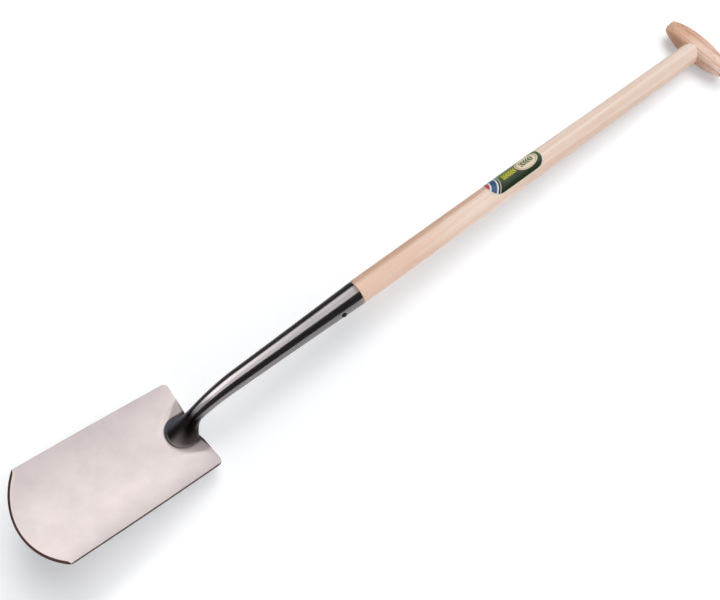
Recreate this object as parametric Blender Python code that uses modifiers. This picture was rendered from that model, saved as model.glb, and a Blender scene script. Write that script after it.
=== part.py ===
"""A narrow garden spade: dished steel blade, cranked closed socket, ash shaft and T-grip.

Sizes are in metres. The pieces are modelled in the shaft's own frame: +Y runs along the shaft's
axis from the socket's mouth towards the grip, +X across the tool, +Z out of the hollow face.
An empty then lays the whole tool on the ground, hollow face up, on its heel and its grip.
On the blade, u runs across, v from the top edge towards the cutting edge, and w out of the
plane through the two long edges.
"""

import math

import bmesh
import bpy
import numpy as np
from mathutils import Matrix

NAME = "spade"

# Wooden shaft
SHAFT_LENGTH = 0.690
SHAFT_DIAMETER = 0.0372
SHAFT_TOP_DIAMETER = 0.0330
SHAFT_TAPER_START = 0.230
SHAFT_FOOT_LENGTH = 0.150
SHAFT_FOOT_CHAMFER = 0.003

# Tenon through the grip, and the wedge that spreads it
TENON_DIAMETER = 0.020
TENON_STAND_BACK = 0.0005
WEDGE_DEPTH = 0.007
WEDGE_WIDTH = 0.0185
WEDGE_THICK_END = 0.0032
WEDGE_THIN_END = 0.0012

# T-grip, a barrel with two flat ends
GRIP_LENGTH = 0.117
GRIP_DIAMETER = 0.039
GRIP_BARREL_REACH = 0.066
GRIP_END_ROUNDING = 0.002

# Socket, a closed cone that ends in a bent neck
SOCKET_WALL = 0.0016
SOCKET_BORE_DEPTH = 0.160
CONE_LENGTH = 0.205
CONE_END_DIAMETER = 0.0274
CONE_POWER = 1.2
NECK_BEND_RADIUS = 0.155
NECK_BEND_ANGLE = math.radians(26)
NECK_DIAMETER = 0.0215

# Foot of the neck, spread over the blade's frog
FOOT_HALF_WIDTH = 0.021
FOOT_REACH = 0.037
FOOT_EDGE_SETBACK = 0.0015
FOOT_LIP = 0.0008
FOOT_PULL_NECK = 0.030
FOOT_PULL_BLADE = 0.024
FOOT_BACK_SQUARENESS = 1.5

# Blade
BLADE_LENGTH = 0.2582
BLADE_TOP_WIDTH = 0.1405
BLADE_FLARE = 0.0075
BLADE_SIDE_BELLY = 0.0007
BLADE_TIP_RISE = 0.0315
BLADE_THICKNESS = 0.0025
BLADE_CORNER_RADIUS = 0.007
BLADE_DISH = 0.011
BLADE_LIFT = math.radians(13)
BLADE_DISTANCE = 0.2829
BLADE_DROP = 0.0382
EDGE_THICKNESS = 0.0009
EDGE_BEVEL_MIDDLE = 0.0014
EDGE_BEVEL_CORNER = 0.0034

# Frog, the shallow pressed field round the neck, and the deeper channel inside it
FROG_HALF_WIDTH = 0.042
FROG_LENGTH = 0.044
FROG_DEPTH = 0.003
FROG_POWER = 1.8
CHANNEL_HALF_WIDTH = 0.025
CHANNEL_STRAIGHT = 0.018
CHANNEL_DEPTH = 0.009

# Nail that keeps the socket on the shaft, driven in from one side
NAIL_DISTANCE = 0.0352
NAIL_TURN = math.radians(11)
NAIL_LENGTH = 0.026
NAIL_POINT = 0.006
NAIL_DIAMETER = 0.0034
NAIL_HEAD_DIAMETER = 0.0076
NAIL_HEAD_HEIGHT = 0.0021

# Label round the shaft
LABEL_START = 0.246
LABEL_LENGTH = 0.1035
LABEL_WIDTH = 0.044
LABEL_CORNER_RADIUS = 0.019
LABEL_THICKNESS = 0.0002
LABEL_TURN = math.radians(24)

# Clearance between pieces that touch
FIT_GAP = 0.0003

# Fineness of the curved shapes
ROUND_STEPS = 40
NECK_STEPS = 32
NAIL_STEPS = 20
DOME_POINTS = 6
FROG_MARGIN = 1.1
FROG_COLUMNS = 13
SIDE_COLUMNS = 4
CORNER_COLUMNS = 5
FROG_ROWS = 13
FACE_ROWS = 11
BORE_RINGS = 9
CONE_RINGS = 10
BEND_RINGS = 7
FOOT_RINGS = 8
SOLE_RINGS = 4
SOLE_INNER_SHARE = 0.15
TAPER_POINTS = 12
FOOT_POINTS = 8
BARREL_POINTS = 17
LABEL_CORNER_COLUMNS = 8
LABEL_ROWS = 9
LAY_ROUNDS = 8
SHARP_ANGLE = math.radians(35)
SLOPE_STEP = 0.001


def clear_scene():
    """Removes every object that the file opened with."""
    for obj in list(bpy.data.objects):
        bpy.data.objects.remove(obj, do_unlink=True)


def new_collection(name):
    """A new collection in the scene."""
    collection = bpy.data.collections.new(name)
    bpy.context.scene.collection.children.link(collection)
    return collection


def new_rig(collection):
    """The empty that carries every piece."""
    rig = bpy.data.objects.new(f"{NAME}_frame", None)
    collection.objects.link(rig)
    return rig


def principled(name, color, roughness, metallic=0.0):
    """A material of one colour, roughness and metallic value."""
    material = bpy.data.materials.new(name)
    material.use_nodes = True
    shader = material.node_tree.nodes["Principled BSDF"]
    shader.inputs["Base Color"].default_value = (*color, 1.0)
    shader.inputs["Roughness"].default_value = roughness
    shader.inputs["Metallic"].default_value = metallic
    return material


def place(name, mesh, rig, material=None):
    """An object for a mesh, carried by the rig. With no material it is a cutter."""
    obj = bpy.data.objects.new(name, mesh)
    obj.parent = rig
    if material:
        bpy.data.collections[NAME].objects.link(obj)
        mesh.materials.append(material)
    else:
        bpy.data.collections["cutters"].objects.link(obj)
        obj.hide_render = True
        obj.display_type = "WIRE"
    return obj


def boolean(target, operation, tool):
    """Cuts a tool from a target, or joins the two."""
    modifier = target.modifiers.new(f"{operation.title()} {tool.name}", "BOOLEAN")
    modifier.operation = operation
    modifier.solver = "EXACT"
    modifier.object = tool


def smooth(mesh):
    """Shades a mesh smooth up to its sharp edges."""
    mesh.shade_smooth()
    mesh.set_sharp_from_angle(angle=SHARP_ANGLE)


def turned(name, profile, steps, rig, material=None):
    """A solid turned about its own Z axis from a profile of (radius, height), top first."""
    mesh = bpy.data.meshes.new(name)
    points = [(radius, 0.0, height) for radius, height in profile]
    mesh.from_pydata(points, [(i, i + 1) for i in range(len(points) - 1)], [])
    obj = place(name, mesh, rig, material)
    screw = obj.modifiers.new("Turning", "SCREW")
    screw.axis = "Z"
    screw.angle = 2 * math.pi
    screw.steps = steps
    screw.render_steps = steps
    screw.use_merge_vertices = True
    screw.merge_threshold = 1e-5
    screw.use_smooth_shade = True
    return obj


def point_along_shaft(obj):
    """Turns an object so that its own Z axis lies along the shaft."""
    obj.rotation_euler = (-math.pi / 2, 0.0, 0.0)


def point_across(obj):
    """Turns an object so that its own Z axis lies across the tool."""
    obj.rotation_euler = (0.0, math.pi / 2, 0.0)


def cylinder(name, diameter, length, steps, rig):
    """A plain cylinder cutter or tool about its own Z axis, centred on its origin."""
    mesh = bpy.data.meshes.new(name)
    shape = bmesh.new()
    bmesh.ops.create_cone(
        shape,
        cap_ends=True,
        segments=steps,
        radius1=diameter / 2,
        radius2=diameter / 2,
        depth=length,
    )
    shape.to_mesh(mesh)
    shape.free()
    return place(name, mesh, rig)


def grid_faces(rows, columns):
    """The four-sided faces of a grid of points numbered row by row."""
    first = np.arange(rows - 1)[:, None] * columns + np.arange(columns - 1)[None, :]
    first = first.ravel()
    return np.stack([first, first + 1, first + columns + 1, first + columns], axis=1)


def sheet(name, points, rig, material):
    """An open sheet through a grid of points, an array of rows, columns and x, y, z."""
    rows, columns = points.shape[:2]
    mesh = bpy.data.meshes.new(name)
    mesh.from_pydata(points.reshape(-1, 3).tolist(), [], grid_faces(rows, columns).tolist())
    smooth(mesh)
    return place(name, mesh, rig, material)


def thicken(obj, thickness, offset):
    """Gives a sheet its wall. Offset -1 adds it behind the sheet, and 1 in front."""
    wall = obj.modifiers.new("Wall", "SOLIDIFY")
    wall.thickness = thickness
    wall.offset = offset
    wall.use_even_offset = True
    return wall


def skin(name, rings, rig, material):
    """A closed solid lofted through rings of as many points, with its two ends filled."""
    count = len(rings[0])
    mesh = bpy.data.meshes.new(name)
    shape = bmesh.new()
    made = [[shape.verts.new(point) for point in ring.tolist()] for ring in rings]
    for ring, after in zip(made, made[1:]):
        for i in range(count):
            j = (i + 1) % count
            shape.faces.new((ring[i], ring[j], after[j], after[i]))
    shape.faces.new(made[0])
    shape.faces.new(made[-1])
    bmesh.ops.recalc_face_normals(shape, faces=shape.faces)
    shape.to_mesh(mesh)
    shape.free()
    smooth(mesh)
    return place(name, mesh, rig, material)


# Blade surface

SIDE_LENGTH = BLADE_LENGTH - BLADE_TIP_RISE
TIP_WIDTH = BLADE_TOP_WIDTH + BLADE_FLARE


def blade_half_width(v):
    """Half of the blade's width at a distance from its top edge."""
    share = np.clip(v / SIDE_LENGTH, 0, 1)
    width = BLADE_TOP_WIDTH + BLADE_FLARE * share
    return width / 2 + BLADE_SIDE_BELLY * np.sin(math.pi * share)


def cutting_edge(u):
    """Distance of the rounded cutting edge from the top edge: an arc through both tip corners."""
    half = TIP_WIDTH / 2
    radius = (half**2 + BLADE_TIP_RISE**2) / (2 * BLADE_TIP_RISE)
    return BLADE_LENGTH - radius + np.sqrt(radius**2 - u**2)


def top_edge(u):
    """Distance that the rounded corners take off the top edge."""
    past = np.clip(np.abs(u) - (BLADE_TOP_WIDTH / 2 - BLADE_CORNER_RADIUS), 0, BLADE_CORNER_RADIUS)
    return BLADE_CORNER_RADIUS - np.sqrt(BLADE_CORNER_RADIUS**2 - past**2)


def edge_bevel(u):
    """Width of the ground bevel along the cutting edge, which is widest at the corners."""
    share = (u / (TIP_WIDTH / 2)) ** 2
    return EDGE_BEVEL_MIDDLE + (EDGE_BEVEL_CORNER - EDGE_BEVEL_MIDDLE) * share


def face_height(u, v):
    """Height w of the hollow face: the dish, the frog pressed into it and the frog's channel."""
    inside = np.maximum(v, 0)
    dish = BLADE_DISH * (1 - (u / blade_half_width(v)) ** 2)
    spread = (np.abs(u) / FROG_HALF_WIDTH) ** FROG_POWER + (inside / FROG_LENGTH) ** FROG_POWER
    frog = FROG_DEPTH * np.clip(1 - spread ** (2 / FROG_POWER), 0, None)
    reach = np.hypot(u, np.maximum(v - CHANNEL_STRAIGHT, 0)) / CHANNEL_HALF_WIDTH
    channel = CHANNEL_DEPTH * np.clip(1 - reach**2, 0, None)
    return -dish - frog - channel


def blade_vector(u, v, w):
    """A direction on the blade, in the shaft's frame."""
    back = np.sin(BLADE_LIFT)
    along = np.cos(BLADE_LIFT)
    return np.stack(np.broadcast_arrays(u, w * back - v * along, v * back + w * along), axis=-1)


def blade_point(u, v, w):
    """A point on the blade, in the shaft's frame."""
    return blade_vector(u, v, w) + np.array([0.0, -BLADE_DISTANCE, -BLADE_DROP])


def blade_columns():
    """Shares of the half width for the grid's columns, closer over the frog and the corners."""
    frog = FROG_MARGIN * FROG_HALF_WIDTH / (BLADE_TOP_WIDTH / 2)
    corner = BLADE_CORNER_RADIUS / (BLADE_TOP_WIDTH / 2)
    inner = np.linspace(0, frog, FROG_COLUMNS)
    outer = np.linspace(frog, 1 - corner, SIDE_COLUMNS)[1:]
    turn = np.linspace(0, math.pi / 2, CORNER_COLUMNS)[1:]
    rounding = 1 - corner * (1 - np.sin(turn))
    half = np.concatenate([inner, outer, rounding])
    return np.concatenate([-half[:0:-1], half])


def blade_rows():
    """Shares of the length for the grid's rows, closer over the frog."""
    frog = FROG_MARGIN * FROG_LENGTH / BLADE_LENGTH
    return np.concatenate([np.linspace(0, frog, FROG_ROWS), np.linspace(frog, 1, FACE_ROWS)[1:]])


def blade_grid():
    """The hollow face as a grid, whose first row is the cutting edge below its bevel."""
    share = blade_columns()
    across = share * TIP_WIDTH / 2
    start = top_edge(share * BLADE_TOP_WIDTH / 2)
    end = cutting_edge(across)
    v = start + blade_rows()[::-1, None] * (end - edge_bevel(across) - start)
    v = np.vstack([end, v])
    u = share * blade_half_width(v)
    w = face_height(u, v)
    w[0] -= BLADE_THICKNESS - EDGE_THICKNESS
    return blade_point(u, v, w)


def make_blade(rig, steel):
    """The blade: one pressed sheet, ground thinner along its cutting edge."""
    points = blade_grid()
    blade = sheet("blade", points, rig, steel)
    wall = thicken(blade, BLADE_THICKNESS, -1)
    group = blade.vertex_groups.new(name="full thickness")
    columns = points.shape[1]
    group.add(list(range(columns, len(blade.data.vertices))), 1.0, "REPLACE")
    group.add(list(range(columns)), EDGE_THICKNESS / BLADE_THICKNESS, "REPLACE")
    wall.vertex_group = group.name
    return blade


# Socket

NECK_END = CONE_LENGTH + NECK_BEND_RADIUS * NECK_BEND_ANGLE


def socket_radius(distance):
    """Outer radius along the socket: a cone that narrows faster near its mouth, then the neck."""
    cone = np.clip(1 - distance / CONE_LENGTH, 0, 1)
    bend = np.clip((distance - CONE_LENGTH) / (NECK_END - CONE_LENGTH), 0, 1)
    cone_diameter = CONE_END_DIAMETER + (SHAFT_DIAMETER - CONE_END_DIAMETER) * cone**CONE_POWER
    return (cone_diameter - (CONE_END_DIAMETER - NECK_DIAMETER) * bend) / 2


def bore_radius(distance):
    """Inner radius of the socket."""
    return socket_radius(distance) - SOCKET_WALL


def neck_path(distance):
    """Position (y, z) on the socket's centre line and its slope: straight, then a round bend."""
    slope = max(distance - CONE_LENGTH, 0) / NECK_BEND_RADIUS
    y = -min(distance, CONE_LENGTH) - NECK_BEND_RADIUS * math.sin(slope)
    z = -NECK_BEND_RADIUS * (1 - math.cos(slope))
    return y, z, slope


def turn_angles():
    """Angles round a section of the neck, from the right side over the front."""
    return np.linspace(0, 2 * math.pi, NECK_STEPS, endpoint=False)


def socket_ring(distance, radius):
    """A round section square to the socket's centre line."""
    y, z, slope = neck_path(distance)
    turn = turn_angles()
    rise = radius * np.sin(turn)
    across = radius * np.cos(turn)
    return np.stack([across, y - rise * math.sin(slope), z + rise * math.cos(slope)], axis=1)


def foot_outline():
    """Where the foot meets the blade: (u, v), rounded towards the tip and squarer at the back."""
    turn = turn_angles()
    back = np.clip(-np.sin(turn), 0, 1)
    power = 2 / (2 + FOOT_BACK_SQUARENESS * back)
    reach = FOOT_REACH - CHANNEL_STRAIGHT
    retreat = CHANNEL_STRAIGHT - FOOT_EDGE_SETBACK
    length = np.where(np.sin(turn) > 0, reach, retreat)
    u = FOOT_HALF_WIDTH * np.sign(np.cos(turn)) * np.abs(np.cos(turn)) ** power
    v = CHANNEL_STRAIGHT + length * np.sign(np.sin(turn)) * np.abs(np.sin(turn)) ** power
    return u, v, back


def foot_surface(steps):
    """Rings from the neck to the blade along smooth curves that leave one and meet the other.

    Each curve is a cubic with its two ends and its two end directions given. At the front and
    the sides it runs out flat over the blade, and at the back it comes down onto the top edge.
    """
    u, v, back = foot_outline()
    start = socket_ring(NECK_END, socket_radius(NECK_END))
    short_of_it = NECK_END - SLOPE_STEP
    before = socket_ring(short_of_it, socket_radius(short_of_it))
    end = blade_point(u, v, face_height(u, v) + FIT_GAP + FOOT_LIP)
    turn = turn_angles()
    leave = (start - before) / SLOPE_STEP * FOOT_PULL_NECK
    meet = blade_vector(np.cos(turn), np.maximum(np.sin(turn), 0), -back) * FOOT_PULL_BLADE
    rings = []
    for t in np.linspace(0, 1, steps + 1)[1:]:
        rings.append(
            (2 * t**3 - 3 * t**2 + 1) * start
            + (t**3 - 2 * t**2 + t) * leave
            + (3 * t**2 - 2 * t**3) * end
            + (t**3 - t**2) * meet
        )
    return rings


def foot_sole(steps):
    """Rings that close the foot over the blade, from the outline in towards its middle."""
    u, v, _ = foot_outline()
    rings = []
    for share in np.linspace(1, SOLE_INNER_SHARE, steps):
        inner_u = u * share
        inner_v = CHANNEL_STRAIGHT + (v - CHANNEL_STRAIGHT) * share
        rings.append(blade_point(inner_u, inner_v, face_height(inner_u, inner_v) + FIT_GAP))
    return rings


def make_socket(rig, steel):
    """The socket: tapered bore, cone, bent neck and the foot spread over the frog."""
    bore = np.linspace(SOCKET_BORE_DEPTH, 0, BORE_RINGS)
    cone = np.linspace(0, CONE_LENGTH, CONE_RINGS)
    bend = np.linspace(CONE_LENGTH, NECK_END, BEND_RINGS)[1:]
    rings = [socket_ring(distance, bore_radius(distance)) for distance in bore]
    rings += [socket_ring(distance, socket_radius(distance)) for distance in (*cone, *bend)]
    rings += foot_surface(FOOT_RINGS)
    rings += foot_sole(SOLE_RINGS)
    return skin("socket", rings, rig, steel)


# Wood

def shaft_radius(distance):
    """Radius of the shaft above the socket: even at first, then an easy taper to the grip."""
    span = SHAFT_LENGTH - SHAFT_TAPER_START
    share = np.clip((distance - SHAFT_TAPER_START) / span, 0, 1)
    ease = share**2 * (3 - 2 * share)
    return (SHAFT_DIAMETER - (SHAFT_DIAMETER - SHAFT_TOP_DIAMETER) * ease) / 2


def shaft_profile():
    """Profile of the shaft from the grip's axis down to the end of its foot."""
    heights = np.linspace(SHAFT_LENGTH, SHAFT_TAPER_START, TAPER_POINTS)
    above = [(shaft_radius(d), d) for d in heights]
    depths = np.linspace(0, SHAFT_FOOT_LENGTH - SHAFT_FOOT_CHAMFER, FOOT_POINTS)
    foot = [(bore_radius(d) - FIT_GAP, -d) for d in depths]
    foot[0] = (foot[0][0], FIT_GAP)
    end = foot[-1][0] - SHAFT_FOOT_CHAMFER
    return [
        (0.0, SHAFT_LENGTH),
        *above,
        (SHAFT_DIAMETER / 2, FIT_GAP),
        *foot,
        (end, -SHAFT_FOOT_LENGTH),
        (0.0, -SHAFT_FOOT_LENGTH),
    ]


def grip_profile(gap):
    """Profile of the grip's barrel, grown by a gap, with slightly rounded ends."""
    reach = GRIP_BARREL_REACH + gap
    half = GRIP_LENGTH / 2 + gap
    heights = np.linspace(half - GRIP_END_ROUNDING, -half + GRIP_END_ROUNDING, BARREL_POINTS)
    barrel = [((GRIP_DIAMETER / 2 + gap) * math.sqrt(1 - (h / reach) ** 2), h) for h in heights]
    face = barrel[0][0] - GRIP_END_ROUNDING
    return [(0.0, half), (face, half), *barrel, (face, -half), (0.0, -half)]


def tapered_block(name, width, gap, rig, material=None):
    """A block like the wedge, grown by a gap and thickest past the far side of the grip."""
    near = SHAFT_LENGTH - WEDGE_DEPTH - gap
    far = SHAFT_LENGTH + GRIP_DIAMETER
    mesh = bpy.data.meshes.new(name)
    shape = bmesh.new()
    bmesh.ops.create_cube(shape, size=1.0)
    for vert in shape.verts:
        outer = vert.co.y > 0
        thickness = (WEDGE_THICK_END if outer else WEDGE_THIN_END) + 2 * gap
        vert.co = (vert.co.x * thickness, far if outer else near, vert.co.z * width)
    shape.to_mesh(mesh)
    shape.free()
    return place(name, mesh, rig, material)


def make_trim(rig):
    """What is sawn off the tenon and the wedge: all that stands out of the grip's far side."""
    mesh = bpy.data.meshes.new("far_side")
    shape = bmesh.new()
    bmesh.ops.create_cube(shape, size=2 * GRIP_DIAMETER)
    shape.to_mesh(mesh)
    shape.free()
    trim = place("far_side", mesh, rig)
    trim.location = (0.0, SHAFT_LENGTH + GRIP_DIAMETER, 0.0)
    barrel = turned("far_barrel", grip_profile(-TENON_STAND_BACK), ROUND_STEPS, rig)
    point_across(barrel)
    barrel.location = (0.0, SHAFT_LENGTH, 0.0)
    boolean(trim, "DIFFERENCE", barrel)
    return trim


def make_shaft(rig, wood, trim):
    """The shaft: tapered foot, shoulder on the socket, end coped to the grip, split tenon."""
    shaft = turned("shaft", shaft_profile(), ROUND_STEPS, rig, wood)
    point_along_shaft(shaft)
    cope = turned("grip_cope", grip_profile(FIT_GAP), ROUND_STEPS, rig)
    point_across(cope)
    cope.location = (0.0, SHAFT_LENGTH, 0.0)
    boolean(shaft, "DIFFERENCE", cope)
    tenon = cylinder("tenon_round", TENON_DIAMETER, 2 * GRIP_DIAMETER, ROUND_STEPS, rig)
    point_along_shaft(tenon)
    tenon.location = (0.0, SHAFT_LENGTH, 0.0)
    boolean(shaft, "UNION", tenon)
    boolean(shaft, "DIFFERENCE", tapered_block("wedge_kerf", 2 * WEDGE_WIDTH, FIT_GAP, rig))
    boolean(shaft, "DIFFERENCE", trim)
    return shaft


def make_wedge(rig, wood, trim):
    """The wedge in the tenon's kerf, trimmed with the tenon."""
    wedge = tapered_block("tenon_wedge", WEDGE_WIDTH, 0.0, rig, wood)
    boolean(wedge, "DIFFERENCE", trim)
    return wedge


def make_grip(rig, wood):
    """The T-grip with its mortise for the tenon."""
    grip = turned("t_grip", grip_profile(0.0), ROUND_STEPS, rig, wood)
    point_across(grip)
    grip.location = (0.0, SHAFT_LENGTH, 0.0)
    diameter = TENON_DIAMETER + 2 * FIT_GAP
    mortise = cylinder("grip_mortise", diameter, 2 * GRIP_DIAMETER, ROUND_STEPS, rig)
    point_along_shaft(mortise)
    mortise.location = (0.0, SHAFT_LENGTH, 0.0)
    boolean(grip, "DIFFERENCE", mortise)
    return grip


# Nail and label

def nail_profile(gap):
    """Profile of the nail from its domed head to its point, grown by a gap."""
    seat = socket_radius(NAIL_DISTANCE) + FIT_GAP
    head = NAIL_HEAD_DIAMETER / 2
    dome = [
        (head * math.sin(a), seat + NAIL_HEAD_HEIGHT * math.cos(a))
        for a in np.linspace(0, math.pi / 2, DOME_POINTS)
    ]
    shank = NAIL_DIAMETER / 2 + gap
    end = seat - NAIL_LENGTH - gap
    return [*dome, (shank, seat), (shank, end + NAIL_POINT), (shank / 4, end), (0.0, end)]


def aim_nail(nail):
    """Lays a nail across the tool, turned a little towards the front."""
    nail.rotation_euler = (0.0, math.pi / 2 - NAIL_TURN, 0.0)
    nail.location = (0.0, -NAIL_DISTANCE, 0.0)


def make_nail(rig, steel, socket, shaft):
    """The nail, and its hole through one wall of the socket and into the shaft."""
    nail = turned("socket_nail", nail_profile(0.0), NAIL_STEPS, rig, steel)
    aim_nail(nail)
    hole = turned("nail_hole", nail_profile(FIT_GAP), NAIL_STEPS, rig)
    aim_nail(hole)
    boolean(socket, "DIFFERENCE", hole)
    boolean(shaft, "DIFFERENCE", hole)
    return nail


def make_label(rig, film):
    """The label: a thin strip with round ends that follows the shaft's surface."""
    half_width = LABEL_WIDTH / 2
    straight = half_width - LABEL_CORNER_RADIUS
    rounding = LABEL_CORNER_RADIUS * np.sin(np.linspace(0, math.pi / 2, LABEL_CORNER_COLUMNS))
    side = np.concatenate([[0.0], straight + rounding])
    across = np.concatenate([-side[:0:-1], side])
    past = np.clip(np.abs(across) - straight, 0, LABEL_CORNER_RADIUS)
    inset = LABEL_CORNER_RADIUS - np.sqrt(LABEL_CORNER_RADIUS**2 - past**2)
    share = np.linspace(0, 1, LABEL_ROWS)[:, None]
    along = share * (LABEL_LENGTH - 2 * inset) + inset + LABEL_START
    radius = shaft_radius(along) + FIT_GAP
    turn = across / (SHAFT_DIAMETER / 2) - LABEL_TURN
    points = np.stack([radius * np.sin(turn), along, radius * np.cos(turn)], axis=-1)
    label = sheet("label", points, rig, film)
    thicken(label, LABEL_THICKNESS, 1)
    return label


# Resting place

def finished_points(parts):
    """Points (y, z) of the finished pieces in the shaft's frame."""
    bpy.context.view_layer.update()
    graph = bpy.context.evaluated_depsgraph_get()
    found = []
    for part in parts:
        evaluated = part.evaluated_get(graph)
        mesh = evaluated.to_mesh()
        points = np.empty(len(mesh.vertices) * 3)
        mesh.vertices.foreach_get("co", points)
        world = np.array(evaluated.matrix_world)
        found.append(points.reshape(-1, 3) @ world[:3, :3].T + world[:3, 3])
        evaluated.to_mesh_clear()
    return np.concatenate(found)[:, 1:]


def lay_down(rig, parts):
    """Turns the tool until heel and grip touch the ground, and centres it over the origin."""
    points = finished_points(parts)
    behind = points[points[:, 0] < 0]
    ahead = points[points[:, 0] > 0]
    angle = 0.0
    for _ in range(LAY_ROUNDS):
        down = np.array([math.sin(angle), math.cos(angle)])
        heel = behind[np.argmin(behind @ down)]
        grip = ahead[np.argmin(ahead @ down)]
        angle = -math.atan2(grip[1] - heel[1], grip[0] - heel[0])
    y = points @ np.array([math.cos(angle), -math.sin(angle)])
    z = points @ np.array([math.sin(angle), math.cos(angle)])
    rig.matrix_world = Matrix.Translation((0.0, -(y.min() + y.max()) / 2, -z.min())) @ (
        Matrix.Rotation(angle, 4, "X")
    )


def main():
    """Builds the spade."""
    clear_scene()
    parts_collection = new_collection(NAME)
    new_collection("cutters")
    rig = new_rig(parts_collection)
    satin = principled("satin stainless steel", (0.72, 0.66, 0.65), 0.35, 1.0)
    polished = principled("polished stainless steel", (0.55, 0.52, 0.53), 0.18, 1.0)
    dark = principled("dark nail steel", (0.10, 0.09, 0.09), 0.45, 1.0)
    ash = principled("pale ash", (0.84, 0.63, 0.46), 0.55)
    tan = principled("tan grip wood", (0.66, 0.42, 0.26), 0.5)
    beech = principled("wedge wood", (0.50, 0.30, 0.17), 0.6)
    film = principled("printed film", (0.10, 0.24, 0.09), 0.3)
    blade = make_blade(rig, satin)
    socket = make_socket(rig, polished)
    trim = make_trim(rig)
    shaft = make_shaft(rig, ash, trim)
    grip = make_grip(rig, tan)
    wedge = make_wedge(rig, beech, trim)
    nail = make_nail(rig, dark, socket, shaft)
    label = make_label(rig, film)
    lay_down(rig, [blade, socket, shaft, grip, wedge, nail, label])


main()
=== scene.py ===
"""Looks of a narrow garden spade that lies on a white floor, hollow face up.

The tool is built in its shaft's own frame, in metres: +Y runs along the shaft's axis from the
socket's mouth towards the grip, +X across the tool and +Z out of the hollow face. On the blade, u
runs across, v from the top edge towards the cutting edge, and w out of the plane through its two
long edges. ``Lay`` then tilts the tool onto its heel and its grip, as it lies on the ground.
"""

from __future__ import annotations

import logging
import math
from dataclasses import dataclass, field
from enum import Enum

import bpy
import numpy as np
from bpy.types import Collection, ID, Material, Node, NodeSocket, Object, World, bpy_struct
from mathutils import Euler, Matrix

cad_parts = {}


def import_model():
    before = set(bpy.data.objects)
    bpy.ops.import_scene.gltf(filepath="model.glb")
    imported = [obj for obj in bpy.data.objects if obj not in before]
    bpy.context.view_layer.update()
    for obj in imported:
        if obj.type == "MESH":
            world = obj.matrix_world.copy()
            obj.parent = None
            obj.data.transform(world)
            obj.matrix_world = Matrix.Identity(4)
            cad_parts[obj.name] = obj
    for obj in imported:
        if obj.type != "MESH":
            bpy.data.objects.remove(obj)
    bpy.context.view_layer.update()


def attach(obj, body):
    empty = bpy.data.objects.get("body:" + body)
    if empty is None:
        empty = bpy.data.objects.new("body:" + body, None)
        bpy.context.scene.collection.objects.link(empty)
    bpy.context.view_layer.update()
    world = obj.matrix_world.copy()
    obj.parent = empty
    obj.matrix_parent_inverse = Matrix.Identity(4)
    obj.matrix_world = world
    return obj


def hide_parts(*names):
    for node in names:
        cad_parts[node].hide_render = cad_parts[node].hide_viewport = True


Array = np.ndarray
Color = tuple[float, float, float]
Point = tuple[float, float, float]
Span = tuple[float, float]

LOG = logging.getLogger("spade")
BODY = "root"
FIT_GAP = 0.0003


class Slot(Enum):
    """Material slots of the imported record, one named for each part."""

    BLADE = "blade"
    SOCKET = "socket"
    NAIL = "nail"
    SHAFT = "shaft"
    GRIP = "grip"
    WEDGE = "wedge"
    LABEL = "label"


class Lights(Enum):
    """What a lamp lights: matt surfaces of the tool or the floor, or gleams of the metal."""

    TOOL = "tool"
    FLOOR = "floor"
    GLEAM = "gleam"
    BLADE = "blade"


class Grain(Enum):
    """Noise along wood: features per metre across and along the grain, layers, roughness."""

    WAVER = (22, 3.2, 2.0, 0.5)
    BROAD = (125, 2.6, 2.0, 0.5)
    NARROW = (420, 7, 3.0, 0.6)
    FIBRES = (1500, 24, 3.0, 0.65)
    PORES = (2600, 130, 1.0, 0.5)


def screen_color(red: int, green: int, blue: int) -> Color:
    """Turns a colour as a screen shows it into the linear values that a shader takes.

    Args:
        red: Red from 0 to 255.
        green: Green from 0 to 255.
        blue: Blue from 0 to 255.

    Returns:
        The linear red, green and blue, from 0 to 1.
    """
    shown = np.array([red, green, blue]) / 255
    linear = np.where(shown <= 0.04045, shown / 12.92, ((shown + 0.055) / 1.055) ** 2.4)
    return tuple(float(part) for part in linear)


def set_options(thing: bpy_struct, **options: object) -> None:
    """Sets several options of one of Blender's things, in the order given."""
    for name, value in options.items():
        setattr(thing, name, value)


def add_object(name: str, data: ID) -> Object:
    """Puts a mesh, a lamp or a camera into the scene as an object at the origin.

    Args:
        name: The object's name.
        data: The mesh, the lamp or the camera.

    Returns:
        The object.
    """
    made = bpy.data.objects.new(name, data)
    bpy.context.scene.collection.objects.link(made)
    return made


# Meshes


def ease(share: Array) -> Array:
    """Smooth step: 0 up to 0, 1 from 1, and 3 s squared less 2 s cubed between them."""
    inside = np.clip(share, 0, 1)
    return inside * inside * (3 - 2 * inside)


def circle(radius: Array | float, count: int) -> tuple[Array, Array]:
    """Places that divide circles evenly: the radii times the turn's cosine, and times its sine."""
    turn = np.linspace(0, 2 * math.pi, count, endpoint=False)
    return radius * np.cos(turn), radius * np.sin(turn)


def join(x: Array | float, y: Array | float, z: Array | float) -> Array:
    """Joins three coordinates into points along a last axis, each spread to the shape of all."""
    return np.stack(np.broadcast_arrays(x, y, z), axis=-1)


def with_poles(rings: Array) -> Array:
    """Lists the points of the rings in order, then the means of the first and the last ring."""
    return np.concatenate([rings.reshape(-1, 3), rings[[0, -1]].mean(axis=1)])


@dataclass(frozen=True)
class Lay:
    """How the tool lies: a tilt about X, then a move of the socket's mouth to its place."""

    tilt: float = math.radians(-2.5479065)
    mouth: Point = (0.0, -0.086042, 0.050154)

    def place(self, points: Array) -> Array:
        """Moves points, whose last axis holds x, y and z, from the shaft's frame to the ground's."""
        turn = np.array(Matrix.Rotation(self.tilt, 3, "X"))
        return points @ turn.T + np.array(self.mouth)


LAY = Lay()


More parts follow.
